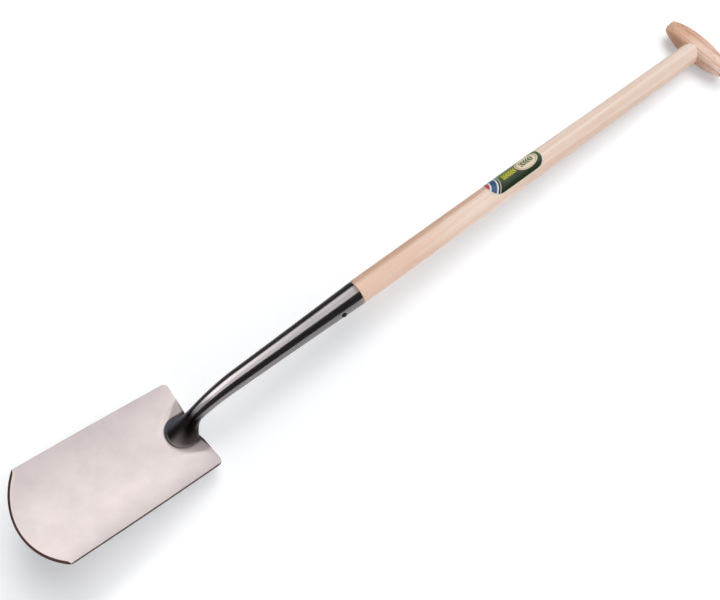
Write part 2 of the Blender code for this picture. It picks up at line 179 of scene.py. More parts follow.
@dataclass
class Skin:
    """Points and faces of one piece, with the values that its material reads at each point."""

    points: Array
    faces: list[Array]
    values: dict[str, Array] = field(default_factory=dict)

    def volume(self) -> float:
        """Signed volume: a sixth of the sum of the triple products of its triangles.

        Returns:
            The volume, below zero if the closed skin faces inwards.
        """
        total = 0.0
        for block in self.faces:
            first = self.points[block[:, 0]]
            for i in range(1, block.shape[1] - 1):
                second, third = self.points[block[:, i]], self.points[block[:, i + 1]]
                total += float((first * np.cross(second, third)).sum())
        return total / 6

    def facing_out(self) -> Skin:
        """Turns every face round if the closed skin faces inwards.

        Returns:
            The skin itself.
        """
        if self.volume() < 0:
            self.faces = [block[:, ::-1] for block in self.faces]
        return self


def grid_quads(rows: int, columns: int, wrap: bool = False) -> Array:
    """Four-cornered faces of a grid that is numbered row by row.

    Args:
        rows: Points down the grid.
        columns: Points across the grid.
        wrap: Whether the last column joins the first.

    Returns:
        One row of four point numbers for each face.
    """
    across = np.arange(columns if wrap else columns - 1)
    start = np.arange(rows - 1)[:, None] * columns
    here = (start + across).ravel()
    beside = (start + (across + 1) % columns).ravel()
    return np.stack([here, beside, beside + columns, here + columns], axis=1)


def loft(rings: Array) -> Skin:
    """A closed skin through rings of points: one pole at the middle of each end ring.

    The surface is a function of two parameters, the place along the rings and the place round
    them, and each end is a fan from the mean of its ring.

    Args:
        rings: An array of rings, points round a ring, and x, y and z.

    Returns:
        The skin in the rings' own frame, facing outwards. Its points are the rings' in order,
        then the two poles.
    """
    count, around = rings.shape[:2]
    here = np.arange(around)
    beside = (here + 1) % around
    pole, last = count * around, (count - 1) * around
    start = np.stack([np.full(around, pole), beside, here], axis=1)
    end = np.stack([np.full(around, pole + 1), last + here, last + beside], axis=1)
    return Skin(with_poles(rings), [grid_quads(count, around, wrap=True), start, end]).facing_out()


def make_piece(name: str, skin: Skin, materials: list[Material], sharp: float = 40.0) -> Object:
    """Puts a skin into a mesh object, laid on the ground, with its point values as attributes.

    Args:
        name: Name of the new object.
        skin: The piece in the shaft's frame.
        materials: The piece's materials, in the order of its slots.
        sharp: Angle in degrees past which an edge stays sharp.

    Returns:
        The new object, at the origin, with its place in its mesh.
    """
    mesh = bpy.data.meshes.new(name)
    faces = [face for block in skin.faces for face in block.tolist()]
    mesh.from_pydata(LAY.place(skin.points).tolist(), [], faces)
    for label, value in skin.values.items():
        layer = mesh.attributes.new(label, "FLOAT_VECTOR", "POINT")
        layer.data.foreach_set("vector", np.ascontiguousarray(value, np.float32).ravel())
    mesh.shade_smooth()
    mesh.set_sharp_from_angle(angle=math.radians(sharp))
    mesh.validate()
    for material in materials:
        mesh.materials.append(material)
    return add_object(name, mesh)


def modify(piece: Object, name: str, kind: str, **options: object) -> None:
    """Adds a modifier of one of Blender's kinds to a piece, with its options."""
    set_options(piece.modifiers.new(name, kind), **options)


def cut(piece: Object, tool: Skin) -> None:
    """Cuts a closed skin out of a piece, and keeps the result as the piece's own mesh.

    Args:
        piece: The piece to cut.
        tool: What is cut away, in the shaft's frame.
    """
    knife = make_piece(f"{piece.name}_cut", tool, [])
    modify(piece, "Cut", "BOOLEAN", operation="DIFFERENCE", solver="EXACT", object=knife)
    graph = bpy.context.evaluated_depsgraph_get()
    mesh = bpy.data.meshes.new_from_object(piece.evaluated_get(graph))
    piece.modifiers.clear()
    piece.data = mesh
    bpy.data.objects.remove(knife)


# Material nodes


class Wire:
    """A value in a node tree. Sums, products and powers of wires add Math nodes."""

    def __init__(self, graph: Graph, socket: NodeSocket) -> None:
        """Keeps the tree and the output socket that the value comes from."""
        self.graph = graph
        self.socket = socket

    def __add__(self, other: Wire | float) -> Wire:
        """The sum of two values."""
        return self.graph.math("ADD", self, other)

    def __sub__(self, other: Wire | float) -> Wire:
        """The difference of two values."""
        return self.graph.math("SUBTRACT", self, other)

    def __rsub__(self, other: float) -> Wire:
        """A number less the value."""
        return self.graph.math("SUBTRACT", other, self)

    def __mul__(self, other: Wire | float) -> Wire:
        """The product of two values."""
        return self.graph.math("MULTIPLY", self, other)

    def __truediv__(self, other: Wire | float) -> Wire:
        """The quotient of two values."""
        return self.graph.math("DIVIDE", self, other)

    def __pow__(self, other: float) -> Wire:
        """The value raised to a power."""
        return self.graph.math("POWER", self, other)

    def size(self) -> Wire:
        """The value without its sign."""
        return self.graph.math("ABSOLUTE", self)

    def over(self, least: float) -> Wire:
        """The value, or the least one if that is larger."""
        return self.graph.math("MAXIMUM", self, least)

    def under(self, most: float) -> Wire:
        """The value, or the greatest one if that is smaller."""
        return self.graph.math("MINIMUM", self, most)

    def step(self, start: float, end: float, low: float = 0.0, high: float = 1.0) -> Wire:
        """Eases from low to high while the value goes from start to end.

        Args:
            start: Where the rise starts.
            end: Where it ends, which may be below the start.
            low: The result before the start.
            high: The result past the end.

        Returns:
            The eased value.
        """
        if end < start:
            start, end, low, high = end, start, high, low
        inputs = {"Value": self, "From Min": start, "From Max": end, "To Min": low, "To Max": high}
        return self.graph.add("ShaderNodeMapRange", inputs, interpolation_type="SMOOTHSTEP")


Input = Wire | float | Color


class Graph:
    """A node tree, with short ways to add the nodes that the finishes and the studio use."""

    def __init__(self, owner: Material | World) -> None:
        """Turns on the nodes of a material or a world, and keeps both."""
        owner.use_nodes = True
        self.owner, self.tree = owner, owner.node_tree

    def feed(self, socket: NodeSocket, value: Input) -> None:
        """Links a wire to an input socket, or sets a number, a vector or a colour on it.

        Args:
            socket: The input socket.
            value: What it takes.
        """
        if isinstance(value, Wire):
            self.tree.links.new(value.socket, socket)
        else:
            socket.default_value = (*value, 1.0) if socket.type == "RGBA" else value

    def node(self, kind: str, inputs: dict[str | int, Input], **options: object) -> Node:
        """Adds a node.

        Args:
            kind: Blender's name of its type.
            inputs: What its inputs take, by their names or numbers.
            options: Its options, which are set before the inputs.

        Returns:
            The node.
        """
        made = self.tree.nodes.new(kind)
        set_options(made, **options)
        for key, value in inputs.items():
            self.feed(made.inputs[key], value)
        return made

    def add(
        self, kind: str, inputs: dict[str | int, Input], output: str | int = 0, **options: object
    ) -> Wire:
        """Adds a node, as ``node`` does, and passes on one of its outputs."""
        return Wire(self, self.node(kind, inputs, **options).outputs[output])

    def math(self, operation: str, first: Wire | float, second: Wire | float = 0.0) -> Wire:
        """Adds a Math node of one or two values."""
        return self.add("ShaderNodeMath", {0: first, 1: second}, operation=operation)

    def parts(self, vector: Wire) -> tuple[Wire, Wire, Wire]:
        """Splits a vector into its three parts."""
        split = self.node("ShaderNodeSeparateXYZ", {0: vector})
        return tuple(Wire(self, output) for output in split.outputs)

    def attribute(self, name: str) -> tuple[Wire, Wire, Wire]:
        """Reads the three parts of a piece's vector attribute."""
        return self.parts(self.add("ShaderNodeAttribute", {}, "Vector", attribute_name=name))

    def tool_place(self) -> tuple[Wire, Wire, Wire]:
        """Turns object coordinates back into the shaft's frame.

        Returns:
            The place across, along and up.
        """
        here = self.add("ShaderNodeTexCoord", {}, "Object")
        inputs = {"Vector": here, "Location": LAY.mouth, "Rotation": (LAY.tilt, 0.0, 0.0)}
        return self.parts(self.add("ShaderNodeMapping", inputs, vector_type="TEXTURE"))

    def noise(
        self,
        x: Wire | float,
        y: Wire | float,
        z: Wire | float,
        scale: float = 1.0,
        detail: float = 2.0,
        rough: float = 0.5,
    ) -> Wire:
        """Cloudy noise round one half.

        Args:
            x: First part of the place that the noise is read at.
            y: Second part.
            z: Third part.
            scale: Features per unit of the place.
            detail: Finer layers added.
            rough: Strength of each finer layer.

        Returns:
            A value from 0 to 1.
        """
        place = self.add("ShaderNodeCombineXYZ", {0: x, 1: y, 2: z})
        inputs = {"Vector": place, "Scale": scale, "Detail": detail, "Roughness": rough}
        return self.add("ShaderNodeTexNoise", inputs)

    def mix(self, share: Wire | float, first: Wire | Color, second: Wire | Color) -> Wire:
        """Mixes two colours: the first at a share of 0, the second at 1."""
        return self.add("ShaderNodeMix", {0: share, 6: first, 7: second}, 2, data_type="RGBA")

    def dim(self, color: Wire | Color, share: Wire | float) -> Wire:
        """Multiplies a colour by a value."""
        return self.add("ShaderNodeVectorMath", {0: color, "Scale": share}, operation="SCALE")

    def seen_directly(self) -> Wire:
        """Tells the rays that see a surface from those that only carry light.

        Returns:
            1 on camera, glossy and transmission rays, and 0 on the rest.
        """
        path = self.node("ShaderNodeLightPath", {})
        kinds = ("Camera", "Glossy", "Transmission")
        camera, glossy, through = (Wire(self, path.outputs[f"Is {kind} Ray"]) for kind in kinds)
        return self.math("MAXIMUM", self.math("MAXIMUM", camera, glossy), through)


class Finish(Graph):
    """The material of a piece: one shader, whose colour, roughness and relief are built up."""

    def __init__(self, name: str, roughness: float, metallic: float = 0.0) -> None:
        """Starts the material.

        Args:
            name: Name of the material.
            roughness: Roughness all over, unless a wire takes its place.
            metallic: 1 for bare metal.
        """
        super().__init__(bpy.data.materials.new(name))
        self.shader = self.tree.nodes["Principled BSDF"]
        self.give("Roughness", roughness)
        self.give("Metallic", metallic)

    def give(self, name: str, value: Input) -> None:
        """Feeds one of the shader's inputs."""
        self.feed(self.shader.inputs[name], value)

    def done(
        self, color: Wire, rough: Wire, height: Wire, depth: float, strength: float
    ) -> Material:
        """Gives the shader its colour, roughness and relief.

        Args:
            color: The base colour.
            rough: The roughness.
            height: The relief, from 0 to 1.
            depth: How deep a height of 1 is, in metres.
            strength: Share of the relief's effect.

        Returns:
            The finished material.
        """
        relief = {"Strength": strength, "Distance": depth, "Height": height}
        self.give("Normal", self.add("ShaderNodeBump", relief))
        self.give("Base Color", color)
        self.give("Roughness", rough)
        return self.owner


class Surface(Graph):
    """A material of the studio, whose shader is built from single nodes."""

    def __init__(self, name: str) -> None:
        """Starts the material, with no node in it."""
        super().__init__(bpy.data.materials.new(name))
        self.tree.nodes.clear()

    def done(self, shader: Wire) -> Material:
        """Gives the material its shader, and returns it."""
        self.node("ShaderNodeOutputMaterial", {0: shader})
        return self.owner


# Finishes


@dataclass(frozen=True)
class SatinSteel:
    """Satin stainless sheet: fine lengthwise brushing, faint clouds, and painted light and shade:
    shade and dim reflections in the frog's channel, shade and light on its facets, a highlight round
    its rim, a lighter part towards the cutting edge, and dark lines and a pale strip along its edges.

    The spans are where each change of tone starts and ends: across the blade, down it, or, for
    the facets and their rim, in the distance from the middle plus a share of the place down it.
    """

    light: Color = (0.810, 0.720, 0.712)
    cloud: Color = (0.735, 0.650, 0.642)
    channel_left_reflection: Color = (0.290, 0.290, 0.345)
    channel_right_reflection: Color = (0.31, 0.260, 0.250)
    channel_heart_shade: Color = (0.014, 0.0110, 0.0115)
    top_edge_shade: Color = (0.150, 0.122, 0.118)
    facet_left_shade: Color = (0.46, 0.405, 0.370)
    facet_right_light: Color = (0.80, 0.705, 0.680)
    right_edge_shade: Color = (0.085, 0.055, 0.050)
    ground_edge_shade: Color = (0.082, 0.050, 0.046)
    edge_highlight: Color = (0.88, 0.72, 0.68)
    edge_extra: float = 0.0014
    wander: float = 0.14
    painted_light_down: Span = (0.165, 0.235)
    painted_light_across: Span = (-0.055, -0.005)
    middle: Span = (-0.012, 0.012)
    facet_slopes: Span = (0.78, 0.50)
    facet_shift: float = 0.0018
    facet_side: Span = (0.0460, 0.0435)
    facet_end: Span = (0.0400, 0.0365)
    rim_inner: Span = (0.0445, 0.0475)
    rim_outer: Span = (0.0620, 0.0480)
    rim_end: Span = (0.066, 0.030)
    channel_reflection_middle: Span = (-0.018, 0.010)
    channel_shade_soft: Span = (-0.004, 0.018)
    line_taper: Span = (0.044, 0.018)
    line_end: Span = (0.0445, 0.0425)
    line_left: Span = (-0.016, 0.010)
    line_width: float = 0.0042
    line_least: float = 0.0004

    def build(self, blade: Blade) -> Material:
        """Makes the material of the blade's two faces.

        The mask of the channel's painted shade and reflections falls from 1 to 0 across the channel's
        rim, whose distance is the root of u squared plus v past the channel's straight part squared.
        The rim is sharper on the left.

        Args:
            blade: The blade, whose sizes place the channel's painted shade and the ground edge.

        Returns:
            The material.
        """
        graph = Finish("satin_stainless", 0.36, 1.0)
        u, v, to_edge = graph.attribute("blade_place")
        share, _, _ = graph.attribute("blade_share")
        lines = graph.noise(u * 2600, v * 26, 0.0, 1.0, 3.0, 0.6)
        clouds = graph.noise(u, v, 0.0, 26.0, 4.0, 0.55)
        wide = graph.noise(u, v, 3.1, 9.0, 1.0)
        color = graph.mix(clouds.step(0.32, 0.72), self.light, self.cloud)
        color = graph.dim(color, wide.step(0.25, 0.75, 0.95, 1.05) * lines.step(0.2, 0.8, 0.97, 1.03))
        # Painted light: the sheet is 10% lighter towards the cutting edge, except on its left side.
        color = graph.dim(color, v.step(*self.painted_light_down) * u.step(*self.painted_light_across) * 0.10 + 1.0)

        wander = (clouds - 0.5) * self.wander
        on_right = u.step(*self.middle)
        past_line = u.size() + v * on_right.step(0.0, 1.0, *self.facet_slopes) + wander * 0.006
        past_line = past_line - on_right * self.facet_shift
        # Painted highlight: a faint lighter band round the frog's rim, fading towards the cutting
        # edge.
        rim = past_line.step(*self.rim_inner) * past_line.step(*self.rim_outer)
        color = graph.dim(color, rim * v.step(*self.rim_end) * 0.07 + 1.0)
        inner = (v - blade.channel_straight).over(0.0)
        reach = (u * u + inner * inner) ** 0.5 / blade.channel_half_width
        # Painted shade and light on the frog's two facets: the left one darker, the right one lighter
        # against its dark reflection.
        field_mask = past_line.step(*self.facet_side) * v.step(*self.facet_end)
        facet = graph.mix(on_right, self.facet_left_shade, self.facet_right_light)
        color = graph.mix(field_mask * reach.step(1.9, 1.15, 0.35, 0.85), color, facet)

        # Painted shade and reflection in the frog's channel: dim bluish and brownish reflections on
        # its sides, near black in its heart.
        hollow_shading = graph.mix(u.step(*self.channel_reflection_middle), self.channel_left_reflection, self.channel_right_reflection)
        hollow_shading = graph.mix((reach + wander).step(1.0, 0.45), hollow_shading, self.channel_heart_shade)
        soft = u.step(*self.channel_shade_soft) * 0.24 + 0.10
        channel_mask = ((reach + wander - 1.0) / soft).step(1.0, -1.0)
        color = graph.mix(channel_mask, color, hollow_shading)

        # Painted shade: a dark line along the shoulders' top edge, weaker on the left.
        line_width = u.size().step(*self.line_taper) * self.line_width + self.line_least
        line = (v / line_width).step(1.15, 0.75) * u.size().step(*self.line_end)
        color = graph.mix(line * u.step(*self.line_left, 0.45, 1.0), color, self.top_edge_shade)

        tip_share = u.size() / blade.tip_half_width
        drawn_in = ((1.0 - tip_share) / blade.bevel_run_out).over(blade.bevel_least).under(1.0) ** 0.5
        width = (tip_share**2.0 * blade.bevel_spread + blade.bevel_middle) * drawn_in
        past = (to_edge - drawn_in * self.edge_extra) / width
        # Painted shade: a dark line on the face along the right long edge.
        color = graph.mix(share.step(0.9885, 0.9925) * 0.85, color, self.right_edge_shade)
        # Painted highlight: a pale strip inside the ground bevel; painted shade: a dark band over the
        # bevel at the cutting edge.
        color = graph.mix(past.step(2.6, 1.3, 0.0, 0.75), color, self.edge_highlight)
        color = graph.mix(past.step(1.18, 0.92), color, self.ground_edge_shade)
        rough = lines.step(0.25, 0.75, 0.31, 0.41) + channel_mask * 0.20
        rough = rough + field_mask * on_right * 0.14
        return graph.done(color, rough, lines * 0.7 + clouds * 0.3, 0.00004, 0.55)


@dataclass(frozen=True)
class SheetEdge:
    """Sheared edge of the sheet: near black for the shade on its narrow sides, with a few bright
    rubs.
    """

    dark: Color = (0.050, 0.031, 0.029)
    rub: Color = (0.19, 0.15, 0.145)

    def build(self) -> Material:
        """Makes the material of the blade's narrow sides.

        Returns:
            The material.
        """
        graph = Finish("sheared_edge", 0.42, 1.0)
        u, v, _ = graph.attribute("blade_place")
        rubs = graph.noise(u, v, 0.4, 90.0, 4.0, 0.65)
        grit = graph.noise(u, v, 1.7, 1500.0)
        # Painted shade: the narrow sides are near black, apart from the rubs.
        color = graph.mix(rubs.step(0.55, 0.75), self.dark, self.rub)
        return graph.done(color, rubs.step(0.3, 0.7, 0.5, 0.34), grit, 0.00005, 0.6)


@dataclass(frozen=True)
class PolishedSteel:
    """Polished socket: long drawn streaks, and painted shade and reflections in the hollow where the
    foot meets the blade.

    The spans are where each change of tone starts and ends, across the tube, up it or along it.
    """

    mouth_steel: Color = (0.238, 0.218, 0.222)
    neck_steel: Color = (0.262, 0.238, 0.241)
    streak: Color = (0.180, 0.163, 0.168)
    hollow_shading: Color = (0.012, 0.0095, 0.0100)
    brown_reflection: Color = (0.185, 0.155, 0.150)
    blue_reflection: Color = (0.105, 0.108, 0.136)
    smoke_reflection: Color = (0.112, 0.098, 0.102)
    foot_edge_glint: Color = (0.220, 0.200, 0.205)
    rim: Color = (0.34, 0.31, 0.305)
    smear_wander: float = 0.004
    blue_up: Span = (-0.008, 0.001)
    left_across: Span = (-0.004, -0.013)
    brown_across: Span = (-0.002, 0.008)
    dull_across: Span = (-0.001, -0.011)
    hollow_shading_along: Span = (0.2660, 0.2840)

    def build(self) -> Material:
        """Makes the material of the socket.

        Its two attributes hold the place round the tube as x and z with the distance from the
        mouth, and the run along the centre line with the share of the foot and of the bright rim.

        Returns:
            The material.
        """
        graph = Finish("polished_stainless", 0.16, 1.0)
        x, z, _ = graph.attribute("tube_place")
        along, foot, lip = graph.attribute("tube_run")
        streaks = graph.noise(x * 420, z * 420, along * 5, 1.0, 3.0, 0.6)
        fine = graph.noise(x * 3000, z * 3000, along * 30)
        smears = graph.noise(x * 60, z * 60, along * 14)
        stray = smears - 0.5
        color = graph.mix(along.step(0.06, 0.24), self.mouth_steel, self.neck_steel)
        color = graph.mix(streaks.step(0.45, 0.85) * 0.8, color, self.streak)
        color = graph.dim(color, smears.step(0.3, 0.7, 0.93, 1.06))

        # Painted shade and reflection where the foot dives into the channel: near black, with dim
        # smoky, bluish and brownish reflections and a lighter glint towards the foot's edge.
        left = graph.mix(z.step(*self.blue_up), self.smoke_reflection, self.blue_reflection)
        hollow_shading = graph.mix((x + stray * self.smear_wander).step(*self.left_across), self.hollow_shading, left)
        brown = (foot + stray * 0.3).step(0.42, 0.86) * foot.step(0.88, 0.98, 1.0, 0.55)
        hollow_shading = graph.mix(brown * x.step(*self.brown_across), hollow_shading, self.brown_reflection)
        hollow_shading = graph.mix(foot.step(0.90, 0.995) * 0.35, hollow_shading, self.foot_edge_glint)
        near = along.step(*self.hollow_shading_along) + stray * 0.2
        color = graph.mix(near.over(0.0).under(1.0), color, hollow_shading)
        color = graph.mix(lip * 0.6, color, self.rim)
        dull = x.step(*self.dull_across) * 0.26 + 0.42
        rough = streaks * 0.10 + fine * 0.08 + foot.step(0.1, 0.7) * dull + 0.10
        return graph.done(color, rough, fine * 0.5 + streaks * 0.5, 0.00003, 0.5)


@dataclass(frozen=True)
class ShadeBand:
    """A band of painted shade on the wood, partly its own darker tone, from its start to its end
    along the grain.
    """

    center: float
    half_width: float
    start: float
    end: float
    share: float


@dataclass(frozen=True)
class Timber:
    """Turned wood: growth rings about an axis beside the piece, streaks, fibres and pores."""

    name: str
    pale: Color
    warm: Color
    streak: Color
    pore: Color
    end: Color
    ring_width: float
    ring_center: Span
    ring_slant: float
    streaks: float
    rings: float
    lines: float
    end_from: float
    shade_bands: tuple[ShadeBand, ...] = ()
    grip_center: float | None = None
    warm_along: Span = (1.0, 0.9)
    warm_share: float = 0.0
    roughness: float = 0.5
    ring_waver: float = 0.012
    band_waver: float = 0.006
    band_ends: Span = (0.06, 0.12)

    def build(self) -> Material:
        """Makes the wood, whose grain runs along the shaft, or along the bar of the grip.

        A ring's tone rises with the fraction of the distance from the rings' axis over the ring
        width, with a slow slant along the grain and a gentle waver. Streaks and fibres are noise
        that is stretched along the grain.

        Returns:
            The material.
        """
        graph = Finish(self.name, self.roughness)
        across, along, up = graph.tool_place()
        if self.grip_center is not None:
            across, along = along - self.grip_center, across
        waver, broad, narrow, fibres, pores = (
            graph.noise(across * thin, along * slow, up * thin, 1.0, detail, rough)
            for thin, slow, detail, rough in (grain.value for grain in Grain)
        )
        left, low = self.ring_center
        x, z = across - left, up - low
        radius = (x * x + z * z) ** 0.5 + along * self.ring_slant + (waver - 0.5) * self.ring_waver
        ring = graph.math("FRACT", radius / self.ring_width)
        late = ring.step(0.35, 0.96) - ring.step(0.965, 1.0)
        pits = pores.step(0.60, 0.72) * ring.step(0.40, 0.0)
        tone = broad.step(0.30, 0.70) * 0.42 + late * self.rings + fibres.step(0.3, 0.75) * 0.3
        tone = tone + along.step(*self.warm_along) * self.warm_share
        color = graph.mix(tone.under(1.0), self.pale, self.warm)
        # Painted shade: darker bands along the shaft's sides and on the grip's blade-facing side,
        # partly the wood's own darker tone.
        rise, fall = self.band_ends
        for band in self.shade_bands:
            off = (across + (waver - 0.5) * self.band_waver - band.center).size() / band.half_width
            reach = along.step(band.start, band.start + rise) * along.step(band.end, band.end - fall)
            color = graph.mix(off.step(1.0, 0.3) * reach * band.share, color, self.streak)
        color = graph.mix(narrow.step(0.52, 0.70) * self.streaks, color, self.streak)
        color = graph.mix(late.step(0.75, 1.0) * self.lines, color, self.streak)
        color = graph.mix(pits * 0.55, color, self.pore)
        ends = along.size().step(self.end_from, self.end_from + 0.0012)
        color = graph.mix(ends * 0.7, color, self.end)
        rough = fibres.step(0.3, 0.7, self.roughness - 0.05, self.roughness + 0.06)
        return graph.done(color, rough, fibres * 0.6 - pits * 0.4 + late * 0.2, 0.00008, 0.45)


PALE_ASH = Timber(
    name="pale_ash",
    pale=screen_color(255, 240, 228),
    warm=screen_color(240, 204, 182),
    streak=screen_color(214, 172, 144),
    pore=screen_color(184, 142, 116),
    end=screen_color(196, 158, 128),
    ring_width=0.0052,
    ring_center=(-0.060, -0.035),
    ring_slant=0.012,
    streaks=0.20,
    rings=0.12,
    lines=0.12,
    end_from=0.7035,
    shade_bands=(
        ShadeBand(-0.0125, 0.0100, -0.20, 0.34, 0.80),
        ShadeBand(-0.0170, 0.0062, 0.26, 0.90, 0.50),
        ShadeBand(0.0078, 0.0062, 0.22, 0.90, 0.30),
        ShadeBand(0.0168, 0.0050, 0.26, 0.90, 0.40),
    ),
    warm_along=(0.30, 0.02),
    warm_share=0.65,
)

TAN_HARDWOOD = Timber(
    name="tan_hardwood",
    pale=screen_color(255, 232, 217),
    warm=screen_color(228, 180, 152),
    streak=screen_color(166, 116, 86),
    pore=screen_color(140, 98, 70),
    end=screen_color(158, 122, 92),
    ring_width=0.0105,
    ring_center=(0.020, 0.042),
    ring_slant=0.020,
    streaks=0.46,
    rings=0.34,
    lines=0.30,
    end_from=0.0572,
    shade_bands=(ShadeBand(-0.0195, 0.0085, -0.20, 0.10, 0.50),),
    warm_along=(0.022, -0.040),
    warm_share=0.62,
    grip_center=0.690,
    roughness=0.46,
)

WEDGE_WOOD = Timber(
    name="wedge_hardwood",
    pale=screen_color(186, 140, 100),
    warm=screen_color(164, 116, 80),
    streak=screen_color(120, 80, 54),
    pore=screen_color(110, 72, 50),
    end=screen_color(134, 94, 66),
    ring_width=0.0020,
    ring_center=(0.010, 0.020),
    ring_slant=0.010,
    streaks=0.5,
    rings=0.4,
    lines=0.3,
    end_from=0.7045,
    roughness=0.6,
)


@dataclass(frozen=True)
class NailSteel:
    """Dark steel of the nail's head, rubbed a little brighter on its crown."""

    dark: Color = (0.030, 0.026, 0.027)
    worn: Color = (0.11, 0.095, 0.092)

    def build(self) -> Material:
        """Makes the material of the nail.

        Returns:
            The material.
        """
        graph = Finish("dark_nail_steel", 0.38, 1.0)
        x, y, crown = graph.attribute("nail_place")
        pits = graph.noise(x, y, 0.2, 900.0, 4.0, 0.6)
        color = graph.mix(crown.step(0.55, 1.0) * pits, self.dark, self.worn)
        return graph.done(color, pits.step(0.3, 0.7, 0.34, 0.5), pits, 0.00006, 0.6)


@dataclass(frozen=True)
class LabelPrint:
    """Printed film: stripes, an ear of grain and a cream oval with a sprig, on a green field."""

    border: Color = screen_color(232, 226, 208)
    deep: Color = screen_color(26, 42, 20)
    field: Color = screen_color(78, 108, 56)
    hill: Color = screen_color(122, 146, 78)
    cream: Color = screen_color(230, 220, 192)
    leaf: Color = screen_color(88, 104, 62)
    yellow: Color = screen_color(204, 196, 60)
    red: Color = screen_color(196, 78, 84)
    white: Color = screen_color(224, 224, 232)
    blue: Color = screen_color(46, 84, 122)
    silver: Color = screen_color(168, 170, 168)
    border_width: float = 0.0015
    stripe_middle: Span = (-0.012, -0.010)
    stripe_soft: float = 0.0002
    oval_place: Span = (0.745, 0.001)
    oval_half: Span = (0.0200, 0.0120)
    ear_place: Span = (0.41, 0.0015)
    ear_reach: float = 0.0125
    twig_reach: float = 0.0120
    leaf_pitch: float = 0.0023
    leaf_share: float = 0.72
    leaf_slant: float = 0.9
    leaf_off: float = 0.0026
    leaf_half: float = 0.0024
    stem_side: Span = (0.0006, 0.0004)

    def sprig(self, along: Wire, off: Wire, middle: float, reach: float) -> Wire:
        """Mask of a stem with slanted leaves on both sides.

        A leaf is an ellipse in the distance from the stem and in a place that repeats along it.

        Args:
            along: Place along the label.
            off: Distance from the stem.
            middle: Place of the sprig's middle along the label.
            reach: Half of its length.

        Returns:
            1 on the sprig and 0 off it.
        """
        slanted = along - middle - off * self.leaf_slant
        place = along.graph.math("PINGPONG", slanted, self.leaf_pitch)
        place = place / (self.leaf_pitch * self.leaf_share)
        leaf = (place * place + ((off - self.leaf_off) / self.leaf_half) ** 2.0).step(1.1, 0.9)
        stem = off.step(*self.stem_side)
        shown = (along - middle).size().step(reach, reach - 0.0006)
        return (leaf + stem).under(1.0) * shown

    def build(self, label: Label) -> Material:
        """Makes the print. The label's attribute holds the place along and across it, in metres.

        Each motif is a mask over that plane: the oval is an ellipse, the stripes are rings about
        a point before the label's start, and the hills' line is noise along the label.

        Args:
            label: The label, whose sizes place the print.

        Returns:
            The material.
        """
        graph = Finish("printed_film", 0.36)
        along, across, inside = graph.attribute("label_place")
        hills = graph.noise(along * 70, 0.0, 0.0, 1.0, 1.0)
        ridge = across + (hills - 0.5) * 0.014
        color = graph.mix(ridge.step(-0.004, 0.013), self.field, self.deep)
        color = graph.mix(ridge.step(0.002, -0.010) * 0.7, color, self.hill)

        start, side = self.stripe_middle
        before, beside = along - start, across - side
        ring = (before * before + beside * beside) ** 0.5
        for inner, outer, paint in (
            (0.0000, 0.0210, self.red),
            (0.0210, 0.0238, self.white),
            (0.0238, 0.0318, self.blue),
            (0.0318, 0.0342, self.white),
            (0.0366, 0.0384, self.silver),
        ):
            soft = self.stripe_soft
            band = ring.step(inner - soft, inner + soft) * ring.step(outer + soft, outer - soft)
            color = graph.mix(band, color, paint)

        middle, stem = label.length * self.ear_place[0], (across - self.ear_place[1]).size()
        color = graph.mix(self.sprig(along, stem, middle, self.ear_reach), color, self.yellow)
        middle, off = label.length * self.oval_place[0], across - self.oval_place[1]
        half_length, half_width = self.oval_half
        oval = ((along - middle) / half_length) ** 2.0 + (off / half_width) ** 2.0
        color = graph.mix(oval.step(1.08, 1.0), color, self.cream)
        color = graph.mix(oval.step(0.88, 0.83) - oval.step(0.79, 0.74), color, self.red)
        color = graph.mix(self.sprig(along, off.size(), middle, self.twig_reach), color, self.leaf)
        edge = inside.step(self.border_width, self.border_width - 0.0003)
        color = graph.mix(edge, color, self.border)
        specks = graph.noise(along, across, 0.7, 700.0)
        color = graph.dim(color, specks.step(0.3, 0.7, 0.94, 1.04))
        return graph.done(color, specks.step(0.3, 0.7, 0.34, 0.42), specks, 0.00002, 0.3)


# Sub-assemblies


class Part:
    """A sub-assembly, which one finished piece shows in place of one CAD node."""

    piece_name: str
    slot: Slot
    node: str
    finish: PolishedSteel | Timber | NailSteel
    sharp: float = 40.0

    def skin(self) -> Skin:
        """The piece's surface, in the shaft's frame."""
        raise NotImplementedError

    def materials(self) -> list[Material]:
        """The piece's materials, in the order of its slots."""
        return [self.finish.build()]

    def shape(self, piece: Object) -> None:
        """Gives the piece what its skin leaves out, such as a wall or a hole, if anything."""

    def build(self) -> Object:
        """Builds and dresses the piece, and declares what it stands for and what it moves with.

        Returns:
            The finished piece.
        """
        piece = make_piece(self.piece_name, self.skin(), self.materials(), self.sharp)
        self.shape(piece)
        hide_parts(self.node)
        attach(piece, BODY)
        LOG.info("%s: %d faces, in place of %s", piece.name, len(piece.data.polygons), self.node)
        return piece


